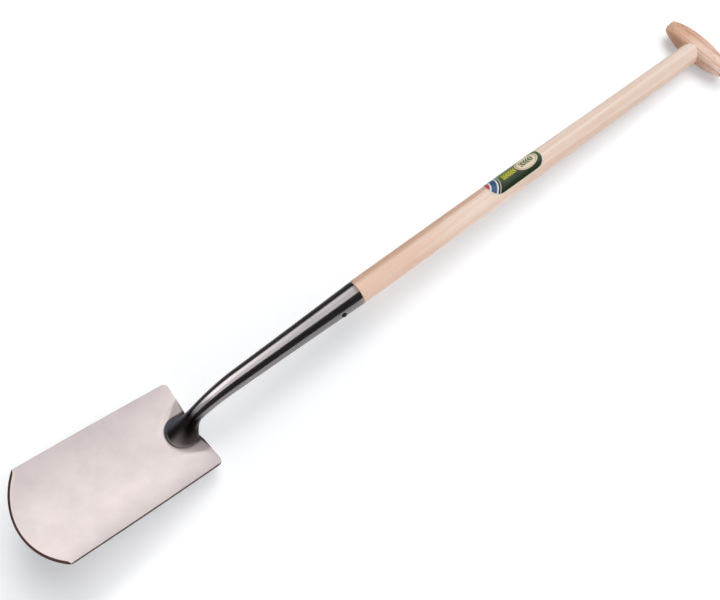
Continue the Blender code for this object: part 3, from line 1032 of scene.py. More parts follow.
@dataclass
class Blade(Part):
    """The blade: one pressed sheet, dished, with a frog and its channel, ground at its edge."""

    piece_name = "blade_sheet"
    slot = Slot.BLADE
    node = "blade"

    length: float = 0.2582
    top_width: float = 0.1405
    flare: float = 0.0075
    belly: float = 0.0007
    tip_rise: float = 0.0315
    thickness: float = 0.0025
    corner_radius: float = 0.007
    dish: float = 0.011
    lift: float = math.radians(13)
    distance: float = 0.2829
    drop: float = 0.0382
    edge_thickness: float = 0.0009
    edge_rounding: float = 0.00028
    bevel_middle: float = 0.0014
    bevel_corner: float = 0.0034
    bevel_run_out: float = 0.08
    bevel_least: float = 0.03
    bevel_rows: int = 4
    frog_half_width: float = 0.042
    frog_length: float = 0.044
    frog_depth: float = 0.003
    frog_power: float = 1.8
    frog_margin: float = 1.12
    channel_half_width: float = 0.025
    channel_straight: float = 0.018
    channel_depth: float = 0.009

    @property
    def tip_half_width(self) -> float:
        """Half of the width between the two tip corners."""
        return (self.top_width + self.flare) / 2

    @property
    def bevel_spread(self) -> float:
        """How much wider the ground bevel is at the corners than in the middle."""
        return self.bevel_corner - self.bevel_middle

    def half_width(self, v: Array) -> Array:
        """Half width: straight flare from top to tip corners, plus a slight belly, half a sine.

        Args:
            v: Places down the blade.

        Returns:
            Half of the width at each.
        """
        share = np.clip(v / (self.length - self.tip_rise), 0, 1)
        width = self.top_width + self.flare * share
        return width / 2 + self.belly * np.sin(math.pi * share)

    def cutting_edge(self, u: Array) -> Array:
        """Distance of the cutting edge from the top: an arc through both tip corners."""
        radius = (self.tip_half_width**2 + self.tip_rise**2) / (2 * self.tip_rise)
        return self.length - radius + np.sqrt(radius**2 - u**2)

    def top_edge(self, u: Array) -> Array:
        """What the two rounded corners take off the top edge: a quarter circle each.

        Args:
            u: Places across the blade.

        Returns:
            How far down the blade its sheet starts at each.
        """
        radius = self.corner_radius
        past = np.clip(np.abs(u) - (self.top_width / 2 - radius), 0, radius)
        return radius - np.sqrt(radius**2 - past**2)

    def bevel(self, u: Array) -> Array:
        """Width of the ground bevel: it grows with u squared and is drawn in at the corners.

        Args:
            u: Places across the blade.

        Returns:
            The width at each.
        """
        share = np.abs(u) / self.tip_half_width
        drawn_in = np.clip((1 - share) / self.bevel_run_out, self.bevel_least, 1) ** 0.5
        return (self.bevel_middle + self.bevel_spread * share**2) * drawn_in

    def height(self, u: Array, v: Array) -> Array:
        """Height of the hollow face: the parabolic dish, less the frog and its channel.

        Args:
            u: Places across the blade.
            v: Places down it.

        Returns:
            The height over the plane through the two long edges.
        """
        dish = self.dish * (1 - (u / self.half_width(v)) ** 2)
        spread = (np.abs(u) / self.frog_half_width) ** self.frog_power
        spread = spread + (np.maximum(v, 0) / self.frog_length) ** self.frog_power
        frog = self.frog_depth * np.clip(1 - spread ** (2 / self.frog_power), 0, None)
        reach = np.hypot(u, np.maximum(v - self.channel_straight, 0)) / self.channel_half_width
        return -dish - frog - self.channel_depth * np.clip(1 - reach**2, 0, None)

    def vector(self, u: Array, v: Array, w: Array) -> Array:
        """Turns a direction on the blade into the shaft's frame."""
        back, along = math.sin(self.lift), math.cos(self.lift)
        return join(u, w * back - v * along, v * back + w * along)

    def point(self, u: Array, v: Array, w: Array) -> Array:
        """Turns a point on the blade into the shaft's frame."""
        return self.vector(u, v, w) + np.array([0.0, -self.distance, -self.drop])

    def on_face(self, u: Array, v: Array, lift: Array | float) -> Array:
        """A point over the hollow face, in the shaft's frame."""
        return self.point(u, v, self.height(u, v) + lift)

    def columns(self) -> Array:
        """Places across the grid, every 1.2 mm over the frog and closer in the corners.

        Returns:
            Shares of the half width, from -1 to 1.
        """
        half = self.top_width / 2
        corner = self.corner_radius / half
        frog = self.frog_margin * self.frog_half_width / half
        inner = np.linspace(0, frog, 40)
        outer = np.linspace(frog, 1 - corner, 9)[1:]
        rounding = 1 - corner * (1 - np.sin(np.linspace(0, math.pi / 2, 11)[1:]))
        side = np.concatenate([inner, outer, rounding])
        return np.concatenate([-side[:0:-1], side])

    def rows(self) -> Array:
        """Shares of the length, every 1.2 mm over the frog and every 5 mm past it."""
        frog = self.frog_margin * self.frog_length / self.length
        return np.concatenate([np.linspace(0, frog, 42), np.linspace(frog, 1, 44)[1:]])

    def skin(self) -> Skin:
        """The hollow face as a grid of shares across and shares of the length.

        The first rows are the ground bevel, which drops from the full to the thin edge.

        Returns:
            The open sheet, with u, v, the distance to the cutting edge and the share of the half
            width at each point.
        """
        share = self.columns()
        across = share * self.tip_half_width
        start = self.top_edge(share * self.top_width / 2)
        end = self.cutting_edge(across)
        bevel = self.bevel(across)
        face = start + self.rows()[::-1, None] * (end - bevel - start)
        ground = np.linspace(0, 1, self.bevel_rows + 1)[:-1, None]
        v = np.vstack([end - bevel * ground, face])
        u = share * self.half_width(v)
        w = self.height(u, v)
        w[: self.bevel_rows] -= (self.thickness - self.edge_thickness) * (1 - ground)
        places = {
            "blade_place": join(u, v, self.cutting_edge(u) - v).reshape(-1, 3),
            "blade_share": join(share, 0.0, np.zeros_like(v)).reshape(-1, 3),
        }
        return Skin(self.point(u, v, w).reshape(-1, 3), [grid_quads(*v.shape)], places)

    def materials(self) -> list[Material]:
        """Satin steel on the faces and the sheared edge's finish on the narrow sides."""
        return [SatinSteel().build(self), SheetEdge().build()]

    def shape(self, piece: Object) -> None:
        """Gives the sheet its wall, which is thinner along the ground edge, and rounds its edges.

        Args:
            piece: The blade's piece.
        """
        columns, count = len(self.columns()), len(piece.data.vertices)
        ground = self.bevel_rows
        group = piece.vertex_groups.new(name="full thickness")
        thin = self.edge_thickness / self.thickness
        for row, weight in enumerate(np.linspace(thin, 1, ground + 1)[:-1].tolist()):
            group.add(list(range(row * columns, (row + 1) * columns)), weight, "REPLACE")
        group.add(list(range(ground * columns, count)), 1.0, "REPLACE")
        wall = {"thickness": self.thickness, "offset": -1, "use_even_offset": True}
        wall |= {"vertex_group": group.name, "material_offset_rim": 1}
        modify(piece, "Wall", "SOLIDIFY", **wall)
        edges = {"width": self.edge_rounding, "segments": 2, "limit_method": "ANGLE"}
        edges |= {"angle_limit": math.radians(45), "harden_normals": False}
        modify(piece, "Rounded edges", "BEVEL", **edges)


@dataclass
class Socket(Part):
    """The socket: a closed cone on the shaft, a bent neck, and a foot spread over the frog."""

    piece_name = "socket_and_neck"
    slot = Slot.SOCKET
    node = "socket"
    finish = PolishedSteel()
    sharp = 50.0

    blade: Blade
    wall: float = 0.0016
    lip: float = 0.0004
    bore_depth: float = 0.160
    mouth_diameter: float = 0.0372
    cone_length: float = 0.205
    cone_end_diameter: float = 0.0274
    cone_power: float = 1.2
    bend_radius: float = 0.155
    bend_angle: float = math.radians(26)
    neck_diameter: float = 0.0215
    foot_half_width: float = 0.0236
    foot_reach: float = 0.0400
    foot_setback: float = 0.0015
    foot_lip: float = 0.0004
    foot_rings: int = 36
    foot_run: float = 0.04
    sole_run: float = 0.33
    sole_shares: tuple[float, ...] = (0.99, 0.7, 0.4, 0.12)
    probe: float = 0.001
    pull_neck: float = 0.030
    pull_blade: float = 0.024
    back_squareness: float = 4.0
    feather: float = 0.0014
    feather_lift: float = 0.00006
    sole_lift: float = 0.00003
    grain_radius: float = 0.0145
    around: int = 128

    @property
    def neck_end(self) -> float:
        """Distance from the mouth at which the round neck ends and the foot starts."""
        return self.cone_length + self.bend_radius * self.bend_angle

    def radius(self, distance: Array | float) -> Array:
        """Outer radius: a cone that narrows with a power near its mouth, then an even taper.

        Args:
            distance: Distances from the mouth along the centre line.

        Returns:
            The radius at each.
        """
        cone = np.clip(1 - np.asarray(distance) / self.cone_length, 0, 1)
        bend_length = self.bend_radius * self.bend_angle
        bend = np.clip((np.asarray(distance) - self.cone_length) / bend_length, 0, 1)
        spread = (self.mouth_diameter - self.cone_end_diameter) * cone**self.cone_power
        narrowing = (self.cone_end_diameter - self.neck_diameter) * bend
        return (self.cone_end_diameter + spread - narrowing) / 2

    def rings(self, distance: Array, radius: Array) -> Array:
        """Round sections square to the centre line, which is straight and then a round bend.

        Args:
            distance: Distances from the mouth along the centre line.
            radius: The radius at each.

        Returns:
            An array of rings, points round a ring, and x, y and z.
        """
        slope = (np.maximum(distance - self.cone_length, 0) / self.bend_radius)[:, None]
        y = -np.minimum(distance, self.cone_length)[:, None] - self.bend_radius * np.sin(slope)
        z = -self.bend_radius * (1 - np.cos(slope))
        across, rise = circle(radius[:, None], self.around)
        return join(across, y - rise * np.sin(slope), z + rise * np.cos(slope))

    def outline(self, outset: float = 0.0) -> tuple[Array, Array, Array]:
        """Where the foot meets the blade: a superellipse, squarer towards the top edge.

        Args:
            outset: How far outside the foot's own outline, except at its back.

        Returns:
            u and v round the outline, and how much each point is at the back.
        """
        side, ahead = circle(1.0, self.around)
        back = np.clip(-ahead, 0, 1)
        power = 2 / (2 + self.back_squareness * back)
        straight = self.blade.channel_straight
        forward = self.foot_reach + outset - straight
        length = np.where(ahead > 0, forward, straight - self.foot_setback)
        half = self.foot_half_width + outset * (1 - back)
        u = half * np.sign(side) * np.abs(side) ** power
        v = straight + length * np.sign(ahead) * np.abs(ahead) ** power
        return u, v, back

    def foot(self) -> Array:
        """Rings from the neck to the blade along cubics with both ends and directions given.

        Returns:
            The rings after the neck's last one, whose last one lies on the blade.
        """
        ends = np.array([self.neck_end - self.probe, self.neck_end])
        before, start = self.rings(ends, self.radius(ends))
        leave = (start - before) / self.probe * self.pull_neck
        side, ahead = circle(1.0, self.around)
        u, v, back = self.outline()
        end = self.blade.on_face(u, v, FIT_GAP + self.foot_lip)
        meet = self.blade.vector(side, np.maximum(ahead, 0), -back) * self.pull_blade
        t = np.linspace(0, 1, self.foot_rings + 1)[1:, None, None]
        return (
            (2 * t**3 - 3 * t**2 + 1) * start
            + (t**3 - 2 * t**2 + t) * leave
            + (3 * t**2 - 2 * t**3) * end
            + (t**3 - t**2) * meet
        )

    def sole(self) -> Array:
        """Rings that feather the foot onto the blade and close it underneath.

        Returns:
            The rings, from the foot's outline outwards and then back in under it.
        """
        rings = []
        for share in np.linspace(0.15, 1, 7):
            u, v, _ = self.outline(self.feather * share)
            lift = (FIT_GAP + self.foot_lip) * (1 - share) ** 2 + self.feather_lift
            rings.append(self.blade.on_face(u, v, lift))
        straight = self.blade.channel_straight
        for share in self.sole_shares:
            inner_v = straight + (v - straight) * share
            rings.append(self.blade.on_face(u * share, inner_v, self.sole_lift))
        return np.array(rings)

    def skin(self) -> Skin:
        """The closed socket: bore, rounded lip, cone, neck, foot and sole in one loft.

        Returns:
            The skin, with each point's place round the tube, its run and its share of the foot.
        """
        corner = np.linspace(0, math.pi / 2, 5)
        sunk, inset = self.lip * (1 - np.sin(corner)), self.lip * (1 - np.cos(corner))
        mouth = float(self.radius(0.0))
        bore = np.linspace(self.bore_depth, self.lip, 12)
        cone = np.linspace(self.lip, self.cone_length, 34)[1:]
        bend = np.linspace(self.cone_length, self.neck_end, 22)[1:]
        distance = np.concatenate([bore, sunk[1:], inset, cone, bend])
        lip = [(mouth - self.wall + inset)[1:], mouth - sunk]
        inner, outer = self.radius(bore) - self.wall, [self.radius(cone), self.radius(bend)]
        tube = self.rings(distance, np.concatenate([inner, *lip, *outer]))
        sole = self.sole()
        skin = loft(np.concatenate([tube, self.foot(), sole]))

        down = np.linspace(0, 1, self.foot_rings + 1)[1:]
        foot_run = self.neck_end + self.foot_run * down
        run = np.concatenate([distance, foot_run, np.full(len(sole), self.sole_run)])[:, None]
        share = np.concatenate([np.zeros(len(distance)), down, np.ones(len(sole))])[:, None]
        bright = np.zeros(run.shape)
        bright[len(bore) : len(bore) + 2 * len(corner) - 1] = 1.0
        round_tube = circle(self.grain_radius, self.around)
        skin.values["tube_place"] = with_poles(join(*round_tube, run))
        skin.values["tube_run"] = with_poles(join(run, share, bright + 0 * round_tube[0]))
        return skin


@dataclass
class Grip(Part):
    """The T-grip: a barrel across the shaft's end, with flat ends and a round mortise."""

    piece_name = "grip_barrel"
    slot = Slot.GRIP
    node = "t_grip"
    finish = TAN_HARDWOOD

    length: float = 0.117
    diameter: float = 0.039
    reach: float = 0.066
    end_rounding: float = 0.002
    center: float = 0.690
    tenon_radius: float = 0.010
    flat_shares: tuple[float, ...] = (0.25, 0.5, 0.75)
    around: int = 96

    def radius(self, x: Array, gap: float = 0.0) -> Array:
        """Radius of the barrel, an ellipse along the bar, grown by a gap."""
        share = np.clip(np.abs(x) / (self.reach + gap), 0, 1)
        return (self.diameter / 2 + gap) * np.sqrt(1 - share**2)

    def bulge(self, x: Array, z: Array, gap: float) -> Array:
        """How far the barrel's sides stand from its middle along y, at a place across and up."""
        return np.sqrt(np.maximum(self.radius(x, gap) ** 2 - z**2, 0))

    def skin(self) -> Skin:
        """The barrel as rings about X: a radius for each place along it.

        Returns:
            The closed skin.
        """
        half = self.length / 2
        body = np.linspace(-half + self.end_rounding, half - self.end_rounding, 61)
        corner = np.linspace(math.pi / 2, 0, 7)[:-1]
        face = float(self.radius(body[0])) - self.end_rounding
        edge_x = half - self.end_rounding * (1 - np.sin(corner))
        edge_r = face + self.end_rounding * np.cos(corner)
        flat = np.array(self.flat_shares) * face
        flat_x = np.full(len(flat), half)
        x = np.concatenate([-flat_x, -edge_x, body, edge_x[::-1], flat_x])
        r = np.concatenate([flat, edge_r, self.radius(body), edge_r[::-1], flat[::-1]])
        along, up = circle(r[:, None], self.around)
        return loft(join(x[:, None], self.center + along, up))

    def shape(self, piece: Object) -> None:
        """Cuts the round mortise for the tenon.

        Args:
            piece: The grip's piece.
        """
        x, z = circle(self.tenon_radius + FIT_GAP, 72)
        y = np.array([self.center - self.diameter, self.center + self.diameter])[:, None]
        cut(piece, loft(join(x, y, z)))


@dataclass
class Wedge(Part):
    """The wedge that spreads the tenon, trimmed with it to the grip's barrel."""

    piece_name = "wedge"
    slot = Slot.WEDGE
    node = "tenon_wedge"
    finish = WEDGE_WOOD

    grip: Grip
    depth: float = 0.007
    width: float = 0.0185
    thick_end: float = 0.0032
    thin_end: float = 0.0012
    stand_back: float = 0.0005
    kerf_past: float = 0.012
    end_share: float = 0.02
    columns: int = 12

    def thickness(self, y: Array | float) -> Array | float:
        """Thickness, an even taper that reaches its thick end past the grip.

        Args:
            y: Places along the shaft's axis.

        Returns:
            The thickness at each.
        """
        near = self.grip.center - self.depth
        far = self.grip.center + self.grip.diameter
        return self.thin_end + (self.thick_end - self.thin_end) * ((y - near) / (far - near))

    def block(self, gap: float, width: float, past: float) -> Skin:
        """A tapered block whose far end follows the barrel: rings of a rectangle along Y.

        Args:
            gap: What it is grown by on each face.
            width: Its width along Z.
            past: How far its far end stands past the barrel's side.

        Returns:
            The closed skin.
        """
        side = np.linspace(-1, 1, self.columns + 1)
        outline_x = np.repeat([-1.0, 1.0], self.columns)
        z = np.concatenate([side[:-1], side[:0:-1]]) * width / 2
        near = self.grip.center - self.depth - gap
        rings = []
        for share in np.linspace(0, 1, 5):
            x = outline_x * (self.thickness(near) / 2 + gap)
            far = self.grip.center + self.grip.bulge(x, z, -self.stand_back) + past
            y = near + (far - near) * share
            rings.append(join(outline_x * (self.thickness(y) / 2 + gap), y, z))
        rings.append(rings[-1] * np.array([self.end_share, 1.0, 1.0]))
        return loft(np.array(rings))

    def skin(self) -> Skin:
        """The wedge's own block, flush with the tenon's end."""
        return self.block(0.0, self.width, 0.0)

    def kerf(self) -> Skin:
        """The slot in the tenon: the wedge, grown by its clearance and open to the far side."""
        return self.block(FIT_GAP, 2 * self.width, self.kerf_past)


@dataclass
class Shaft(Part):
    """The shaft: a foot in the socket, a shoulder on its mouth, a taper, a cope and a tenon."""

    piece_name = "shaft_turned"
    slot = Slot.SHAFT
    node = "shaft"
    finish = PALE_ASH
    sharp = 55.0

    socket: Socket
    grip: Grip
    wedge: Wedge
    diameter: float = 0.0372
    top_diameter: float = 0.0330
    taper_start: float = 0.230
    foot_length: float = 0.150
    foot_chamfer: float = 0.003
    shoulder_chamfer: float = 0.0004
    stand_back: float = 0.0005
    cope_fade: float = 0.030
    cope_radii: tuple[float, ...] = (0.0150, 0.0130, 0.0115)
    end_radii: tuple[float, ...] = (0.0075, 0.005, 0.0025, 0.0006)
    around: int = 128

    @property
    def cope_start(self) -> float:
        """Where along the shaft its rings start to ease into the grip's barrel."""
        return self.grip.center - self.grip.diameter / 2 - self.cope_fade

    def radius(self, y: Array) -> Array:
        """Radius above the socket: even at first, then a smooth step down to the grip."""
        share = ease((y - self.taper_start) / (self.grip.center - self.taper_start))
        return (self.diameter - (self.diameter - self.top_diameter) * share) / 2

    def round_rings(self, y: Array, radius: Array) -> Array:
        """Flat round rings about the shaft's axis, one for each place along it."""
        across, up = circle(radius[:, None], self.around)
        return join(across, y[:, None], up)

    def coped_end(self) -> Array:
        """Rings that ease from flat to the grip's barrel, then cross it to the tenon.

        Each point's y is a mix of the flat ring's and of the barrel's near side over it.

        Returns:
            The rings.
        """
        start = self.cope_start
        rings = []
        for share in np.linspace(0, 1, 14)[1:]:
            flat_y = np.array([start + self.cope_fade * share])
            ring = self.round_rings(flat_y, self.radius(flat_y))[0]
            cope = self.grip.center - self.grip.bulge(ring[:, 0], ring[:, 2], FIT_GAP)
            ring[:, 1] = start + (cope - start) * share
            rings.append(ring)
        rim = rings[-1]
        edge = np.hypot(rim[:, 0], rim[:, 2])[:, None]
        for radius in (*self.cope_radii, self.grip.tenon_radius):
            ring = rim * np.array([1.0, 0.0, 1.0]) * radius / edge
            ring[:, 1] = self.grip.center - self.grip.bulge(ring[:, 0], ring[:, 2], FIT_GAP)
            rings.append(ring)
        return np.array(rings)

    def tenon(self) -> Array:
        """Rings of the tenon's side and of its end, which follows the barrel, set back a little.

        Returns:
            The rings.
        """
        rings = []
        for radius in (self.grip.tenon_radius, *self.end_radii):
            x, z = circle(radius, self.around)
            rings.append(join(x, self.grip.center + self.grip.bulge(x, z, -self.stand_back), z))
        return np.array(rings)

    def skin(self) -> Skin:
        """The closed shaft, from the bottom of its foot to the tenon's end.

        Returns:
            The closed skin.
        """
        depth = np.linspace(self.foot_length - self.foot_chamfer, 2 * FIT_GAP, 12)
        foot = self.socket.radius(depth) - self.socket.wall - FIT_GAP
        tip = foot[0] - self.foot_chamfer
        body = np.linspace(3 * FIT_GAP, self.cope_start, 72)
        y = np.concatenate([[-self.foot_length] * 2, -depth, [FIT_GAP, FIT_GAP], body])
        shoulder = [foot[-1], self.diameter / 2 - self.shoulder_chamfer]
        r = np.concatenate([[tip / 2, tip], foot, shoulder, self.radius(body)])
        return loft(np.concatenate([self.round_rings(y, r), self.coped_end(), self.tenon()]))

    def shape(self, piece: Object) -> None:
        """Saws the kerf into the tenon for its wedge."""
        cut(piece, self.wedge.kerf())


@dataclass
class Nail(Part):
    """The nail that keeps the socket on the shaft, its domed head on the socket's right side."""

    piece_name = "nail"
    slot = Slot.NAIL
    node = "socket_nail"
    finish = NailSteel()

    socket: Socket
    distance: float = 0.0352
    turned_front: float = math.radians(11)
    length: float = 0.026
    point: float = 0.006
    diameter: float = 0.0034
    head_diameter: float = 0.0076
    head_height: float = 0.0021
    head_rim: float = 0.0002
    crown_turn: float = 0.12
    seat_share: float = 0.97
    around: int = 32

    def skin(self) -> Skin:
        """A profile of radius and height turned about the nail's axis.

        Returns:
            The skin, with the place on the head and how near its crown each point is.
        """
        seat = float(self.socket.radius(self.distance)) + FIT_GAP
        end = seat - self.length
        head, shank = self.head_diameter / 2, self.diameter / 2
        arc = np.linspace(self.crown_turn, math.pi / 2, 12)
        dome = seat + self.head_rim + (self.head_height - self.head_rim) * np.cos(arc)
        height = np.concatenate([dome, [seat, seat, end + self.point, end]])[:, None]
        under = [head * self.seat_share, shank, shank, shank / 4]
        radius = np.concatenate([head * np.sin(arc), under])
        skin = loft(join(height, *circle(radius[:, None], self.around)))
        out, side, up = skin.points.T
        skin.values["nail_place"] = join(side, up, np.clip((out - seat) / self.head_height, 0, 1))
        lean = np.array(Matrix.Rotation(-self.turned_front, 3, "Y"))
        skin.points = skin.points @ lean.T + np.array([0.0, -self.distance, 0.0])
        return skin


@dataclass
class Label(Part):
    """The label: a film with rounded corners, wrapped round the shaft's front and left."""

    piece_name = "label_film"
    slot = Slot.LABEL
    node = "label"

    shaft: Shaft
    start: float = 0.246
    length: float = 0.1035
    width: float = 0.044
    corner: float = 0.019
    thickness: float = 0.0002
    turned_left: float = math.radians(24)

    def skin(self) -> Skin:
        """The film as a grid of shares along and across it, bent to the shaft's radius.

        Across, x is the radius times the sine of the turn and z the radius times its cosine.

        Returns:
            The open sheet, with the place along and across it and how far inside its edge it is.
        """
        straight = self.width / 2 - self.corner
        side = straight + self.corner * np.sin(np.linspace(0, math.pi / 2, 24))
        flat = np.linspace(0, straight, 4)[:-1]
        across = np.concatenate([-side[::-1], -flat[:0:-1], flat, side])
        past = np.clip(np.abs(across) - straight, 0, self.corner)
        inset = self.corner - np.sqrt(self.corner**2 - past**2)
        along = inset + np.linspace(0, 1, 64)[:, None] * (self.length - 2 * inset)
        radius = self.shaft.radius(self.start + along) + FIT_GAP
        turn = across / (self.shaft.diameter / 2) - self.turned_left
        points = join(radius * np.sin(turn), self.start + along, radius * np.cos(turn))
        places = join(along, across, self.inside(along, across)).reshape(-1, 3)
        return Skin(points.reshape(-1, 3), [grid_quads(*along.shape)], {"label_place": places})

    def inside(self, along: Array, across: Array) -> Array:
        """Distance to the label's edge, a rectangle with round corners, counted inwards.

        Args:
            along: Places along the label.
            across: Places across it.

        Returns:
            The distance at each.
        """
        from_x = np.abs(along - self.length / 2) - (self.length / 2 - self.corner)
        from_y = np.abs(across) - (self.width / 2 - self.corner)
        outside = np.hypot(np.maximum(from_x, 0), np.maximum(from_y, 0))
        return self.corner - outside - np.minimum(np.maximum(from_x, from_y), 0)

    def materials(self) -> list[Material]:
        """The printed film."""
        return [LabelPrint().build(self)]

    def shape(self, piece: Object) -> None:
        """Gives the film its thickness."""
        modify(piece, "Film", "SOLIDIFY", thickness=self.thickness, offset=1)


# Studio


@dataclass(frozen=True)
class Camera:
    """The camera at the photograph's place, for a picture 720 wide and 600 high."""

    location: Point = (0.4024422, -0.3449698, 1.199984)
    turn_deg: Point = (22.022644, 2.052659, 51.743370)
    lens_mm: float = 44.3115
    sensor_mm: float = 36.0
    near: float = 0.01

    def build(self) -> None:
        """Makes the camera and gives it to the scene."""
        data = bpy.data.cameras.new("studio_camera")
        set_options(data, lens=self.lens_mm, sensor_width=self.sensor_mm, clip_start=self.near)
        camera = add_object("studio_camera", data)
        camera.location = self.location
        camera.rotation_euler = Euler([math.radians(angle) for angle in self.turn_deg])
        bpy.context.scene.camera = camera


@dataclass(frozen=True)
class Lamp:
    """A soft square lamp that faces the tool, and lights only what ``lights`` says."""

    name: str
    direction: Point
    width: float
    length: float
    radiance: float
    lights: Lights
    aim: Point = (0.0, -0.05, 0.0)
    distance: float = 2.2

    def build(self, lit: Collection) -> None:
        """Makes the lamp. Its power is pi times its area times the radiance.

        Args:
            lit: What the lamp lights alone, or leaves unlit, by the collection's link states.
        """
        data = bpy.data.lights.new(self.name, "AREA")
        power = math.pi * self.width * self.length * self.radiance
        set_options(data, shape="RECTANGLE", size=self.width, size_y=self.length, energy=power)
        lamp = add_object(self.name, data)
        toward = np.array(self.direction) / np.linalg.norm(self.direction)
        across = np.cross([0.0, 1.0, 0.0], toward)
        across /= np.linalg.norm(across)
        place = np.eye(4)
        place[:3, :3] = np.stack([across, np.cross(toward, across), toward], axis=1)
        place[:3, 3] = np.array(self.aim) + toward * self.distance
        lamp.matrix_world = Matrix(place.tolist())
        gleams = self.lights in (Lights.GLEAM, Lights.BLADE)
        set_options(lamp, visible_glossy=gleams, visible_diffuse=not gleams)
        lamp.light_linking.receiver_collection = lit


def single_face(name: str, corners: list[Point], material: Material) -> Object:
    """Makes a piece of the studio from one face.

    Args:
        name: Its name.
        corners: The face's four corners, in order.
        material: Its material.

    Returns:
        The piece.
    """
    mesh = bpy.data.meshes.new(name)
    mesh.from_pydata(corners, [], [(0, 1, 2, 3)])
    mesh.materials.append(material)
    face = add_object(name, mesh)
    return face


@dataclass(frozen=True)
class Card:
    """A dark card along the tool, from one line to another, which only reflections see."""

    name: str
    start: Span
    end: Span
    half_length: float = 5.0
    tone: float = 0.06

    def build(self) -> None:
        """Makes the card: a single face."""
        (x0, z0), (x1, z1), far = self.start, self.end, self.half_length
        corners = [(x0, -far, z0), (x0, far, z0), (x1, far, z1), (x1, -far, z1)]
        graph = Surface(self.name)
        glow = graph.add("ShaderNodeEmission", {"Color": (self.tone,) * 3})
        card = single_face(self.name, corners, graph.done(glow))
        for ray in ("camera", "diffuse", "transmission", "volume_scatter", "shadow"):
            setattr(card, f"visible_{ray}", False)


@dataclass(frozen=True)
class Floor:
    """A white floor that keeps the tool's soft shadow, and the white surroundings."""

    half_size: float = 8.0
    diffuse: Color = (0.80, 0.80, 0.80 * 1.01)
    glow: float = 0.315
    glow_tint: Color = (0.96, 1.0, 1.045)
    ambient: float = 0.20
    tool_middle: Point = (0.0, -0.05, 0.0)
    tool_half: Point = (0.07, 0.62, 0.0)
    fade: Span = (0.030, 0.125)

    def material(self) -> Material:
        """A matt floor, plus a glow that only the camera, gloss and glass see.

        Returns:
            The material.
        """
        graph = Surface("studio_floor")
        matt = graph.add("ShaderNodeBsdfDiffuse", {"Color": self.diffuse})
        terms = {0: graph.seen_directly(), 1: self.glow, 2: self.far_glow(graph)}
        strength = graph.add("ShaderNodeMath", terms, operation="MULTIPLY_ADD")
        glow = graph.add("ShaderNodeEmission", {"Color": self.glow_tint, "Strength": strength})
        return graph.done(graph.add("ShaderNodeAddShader", {0: matt, 1: glow}))

    def far_glow(self, graph: Graph) -> Wire:
        """Adds the glow that turns the floor fully white away from the tool, for the camera only.

        It rises smoothly with the distance from the rectangle that the tool lies in, which is
        the length of the part of the place's size that is past the rectangle's half size.

        Args:
            graph: The floor's node tree.

        Returns:
            The added strength.
        """
        place = graph.add("ShaderNodeTexCoord", {}, "Object")
        kind, zero = "ShaderNodeVectorMath", (0.0, 0.0, 0.0)
        operations = ("SUBTRACT", "ABSOLUTE", "SUBTRACT", "MAXIMUM")
        for operation, value in zip(operations, (self.tool_middle, zero, self.tool_half, zero)):
            place = graph.add(kind, {0: place, 1: value}, operation=operation)
        away = graph.add(kind, {0: place}, "Value", operation="LENGTH")
        camera = graph.add("ShaderNodeLightPath", {}, "Is Camera Ray")
        return camera * away.step(*self.fade, 0.0, 1.0 - self.glow)

    def build(self) -> Object:
        """Makes the floor and the white surroundings.

        Returns:
            The floor.
        """
        half = self.half_size
        corners = [(-half, -half, 0.0), (half, -half, 0.0), (half, half, 0.0), (-half, half, 0.0)]
        floor = single_face("studio_floor", corners, self.material())
        self.build_world()
        return floor

    def build_world(self) -> None:
        """White surroundings for the camera, gloss and glass, and a plain fill for the rest."""
        graph = Graph(bpy.data.worlds.new("studio"))
        span = {"Value": graph.seen_directly(), "To Min": self.ambient, "To Max": 1.0}
        back = graph.tree.nodes["Background"]
        graph.feed(back.inputs["Color"], (1.0, 1.0, 1.0))
        graph.feed(back.inputs["Strength"], graph.add("ShaderNodeMapRange", span))
        bpy.context.scene.world = graph.owner


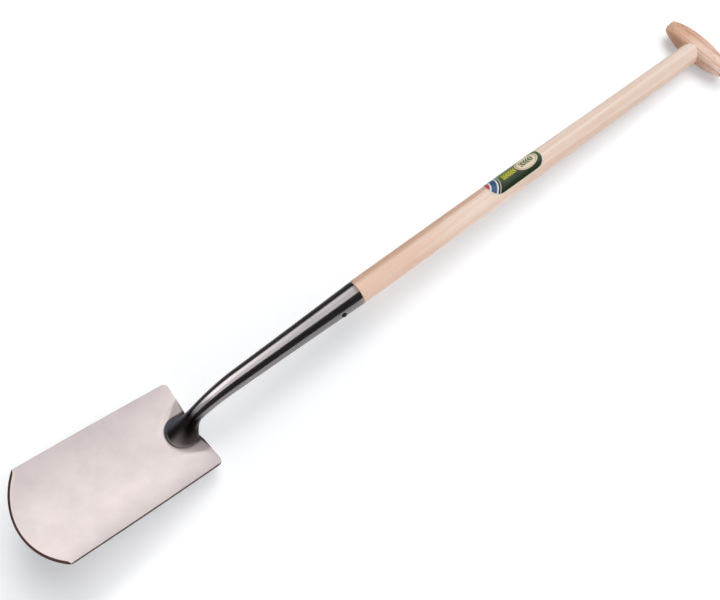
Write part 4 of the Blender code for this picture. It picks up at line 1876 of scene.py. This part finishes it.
LAMPS = (
    Lamp("gleam_left", (-0.515, -0.16, 0.857), 1.43, 2.0, 1.60, Lights.GLEAM),
    Lamp("gleam_right", (0.07, -0.16, 0.985), 1.35, 2.0, 1.20, Lights.GLEAM),
    Lamp("gleam_neck", (-0.515, -0.36, 0.857), 1.43, 1.7, 1.30, Lights.GLEAM),
    Lamp("gleam_blade", (-0.64, 0.656, 0.39), 2.6, 4.0, 0.42, Lights.BLADE, distance=2.8),
    Lamp("tool_key", (-0.24, 0.16, 0.96), 5.4, 4.8, 2.38, Lights.TOOL, distance=5.0),
    Lamp("tool_fill", (0.97, 0.0, 0.24), 1.6, 4.6, 2.3, Lights.TOOL, distance=3.4),
    Lamp("floor_key", (-0.13, 0.48, 0.87), 9.0, 7.0, 2.70, Lights.FLOOR, distance=9.0),
    Lamp("floor_side", (-0.48, 0.55, 0.68), 4.4, 4.4, 2.9, Lights.FLOOR, distance=8.0),
    Lamp("floor_cross", (0.66, 0.40, 0.64), 3.0, 3.0, 1.1, Lights.FLOOR, distance=5.0),
)
CARDS = (
    Card("card_right", (1.4, -0.02), (1.4, 3.5)),
    Card("card_left", (-2.4, -0.02), (-2.4, 1.75)),
    Card("card_low_left", (-2.4, 0.002), (-0.10, 0.002), tone=0.24),
)


def link_group(name: str, link_state: str, piece: Object) -> Collection:
    """Groups an object for lamps, outside the scene's own collections.

    Args:
        name: Name of the group.
        link_state: INCLUDE for all that a lamp lights, EXCLUDE for what it leaves unlit.
        piece: The object.

    Returns:
        The group.
    """
    group = bpy.data.collections.new(name)
    group.objects.link(piece)
    for member in group.collection_objects:
        member.light_linking.link_state = link_state
    return group


def set_the_stage(blade: Object) -> None:
    """Builds the camera, the lamps, the dark cards and the floor.

    Args:
        blade: The satin blade, which shows the white surroundings and none of the gleam lamps.
    """
    Camera().build()
    floor = Floor().build()
    groups = {
        Lights.TOOL: link_group("all_but_floor", "EXCLUDE", floor),
        Lights.FLOOR: link_group("floor_alone", "INCLUDE", floor),
        Lights.GLEAM: link_group("all_but_blade", "EXCLUDE", blade),
        Lights.BLADE: link_group("blade_alone", "INCLUDE", blade),
    }
    for lamp in LAMPS:
        lamp.build(groups[lamp.lights])
    for card in CARDS:
        card.build()
    bpy.context.scene.view_settings.view_transform = "Standard"


def main() -> None:
    """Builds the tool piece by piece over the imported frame, then the studio round it."""
    logging.basicConfig(level=logging.INFO, format="%(name)s: %(message)s")
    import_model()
    blade, grip = Blade(), Grip()
    socket, wedge = Socket(blade), Wedge(grip)
    shaft = Shaft(socket, grip, wedge)
    parts = (blade, socket, shaft, grip, wedge, Nail(socket), Label(shaft))
    pieces = {part.node: part.build() for part in parts}
    set_the_stage(pieces[blade.node])


if __name__ == "__main__":
    main()
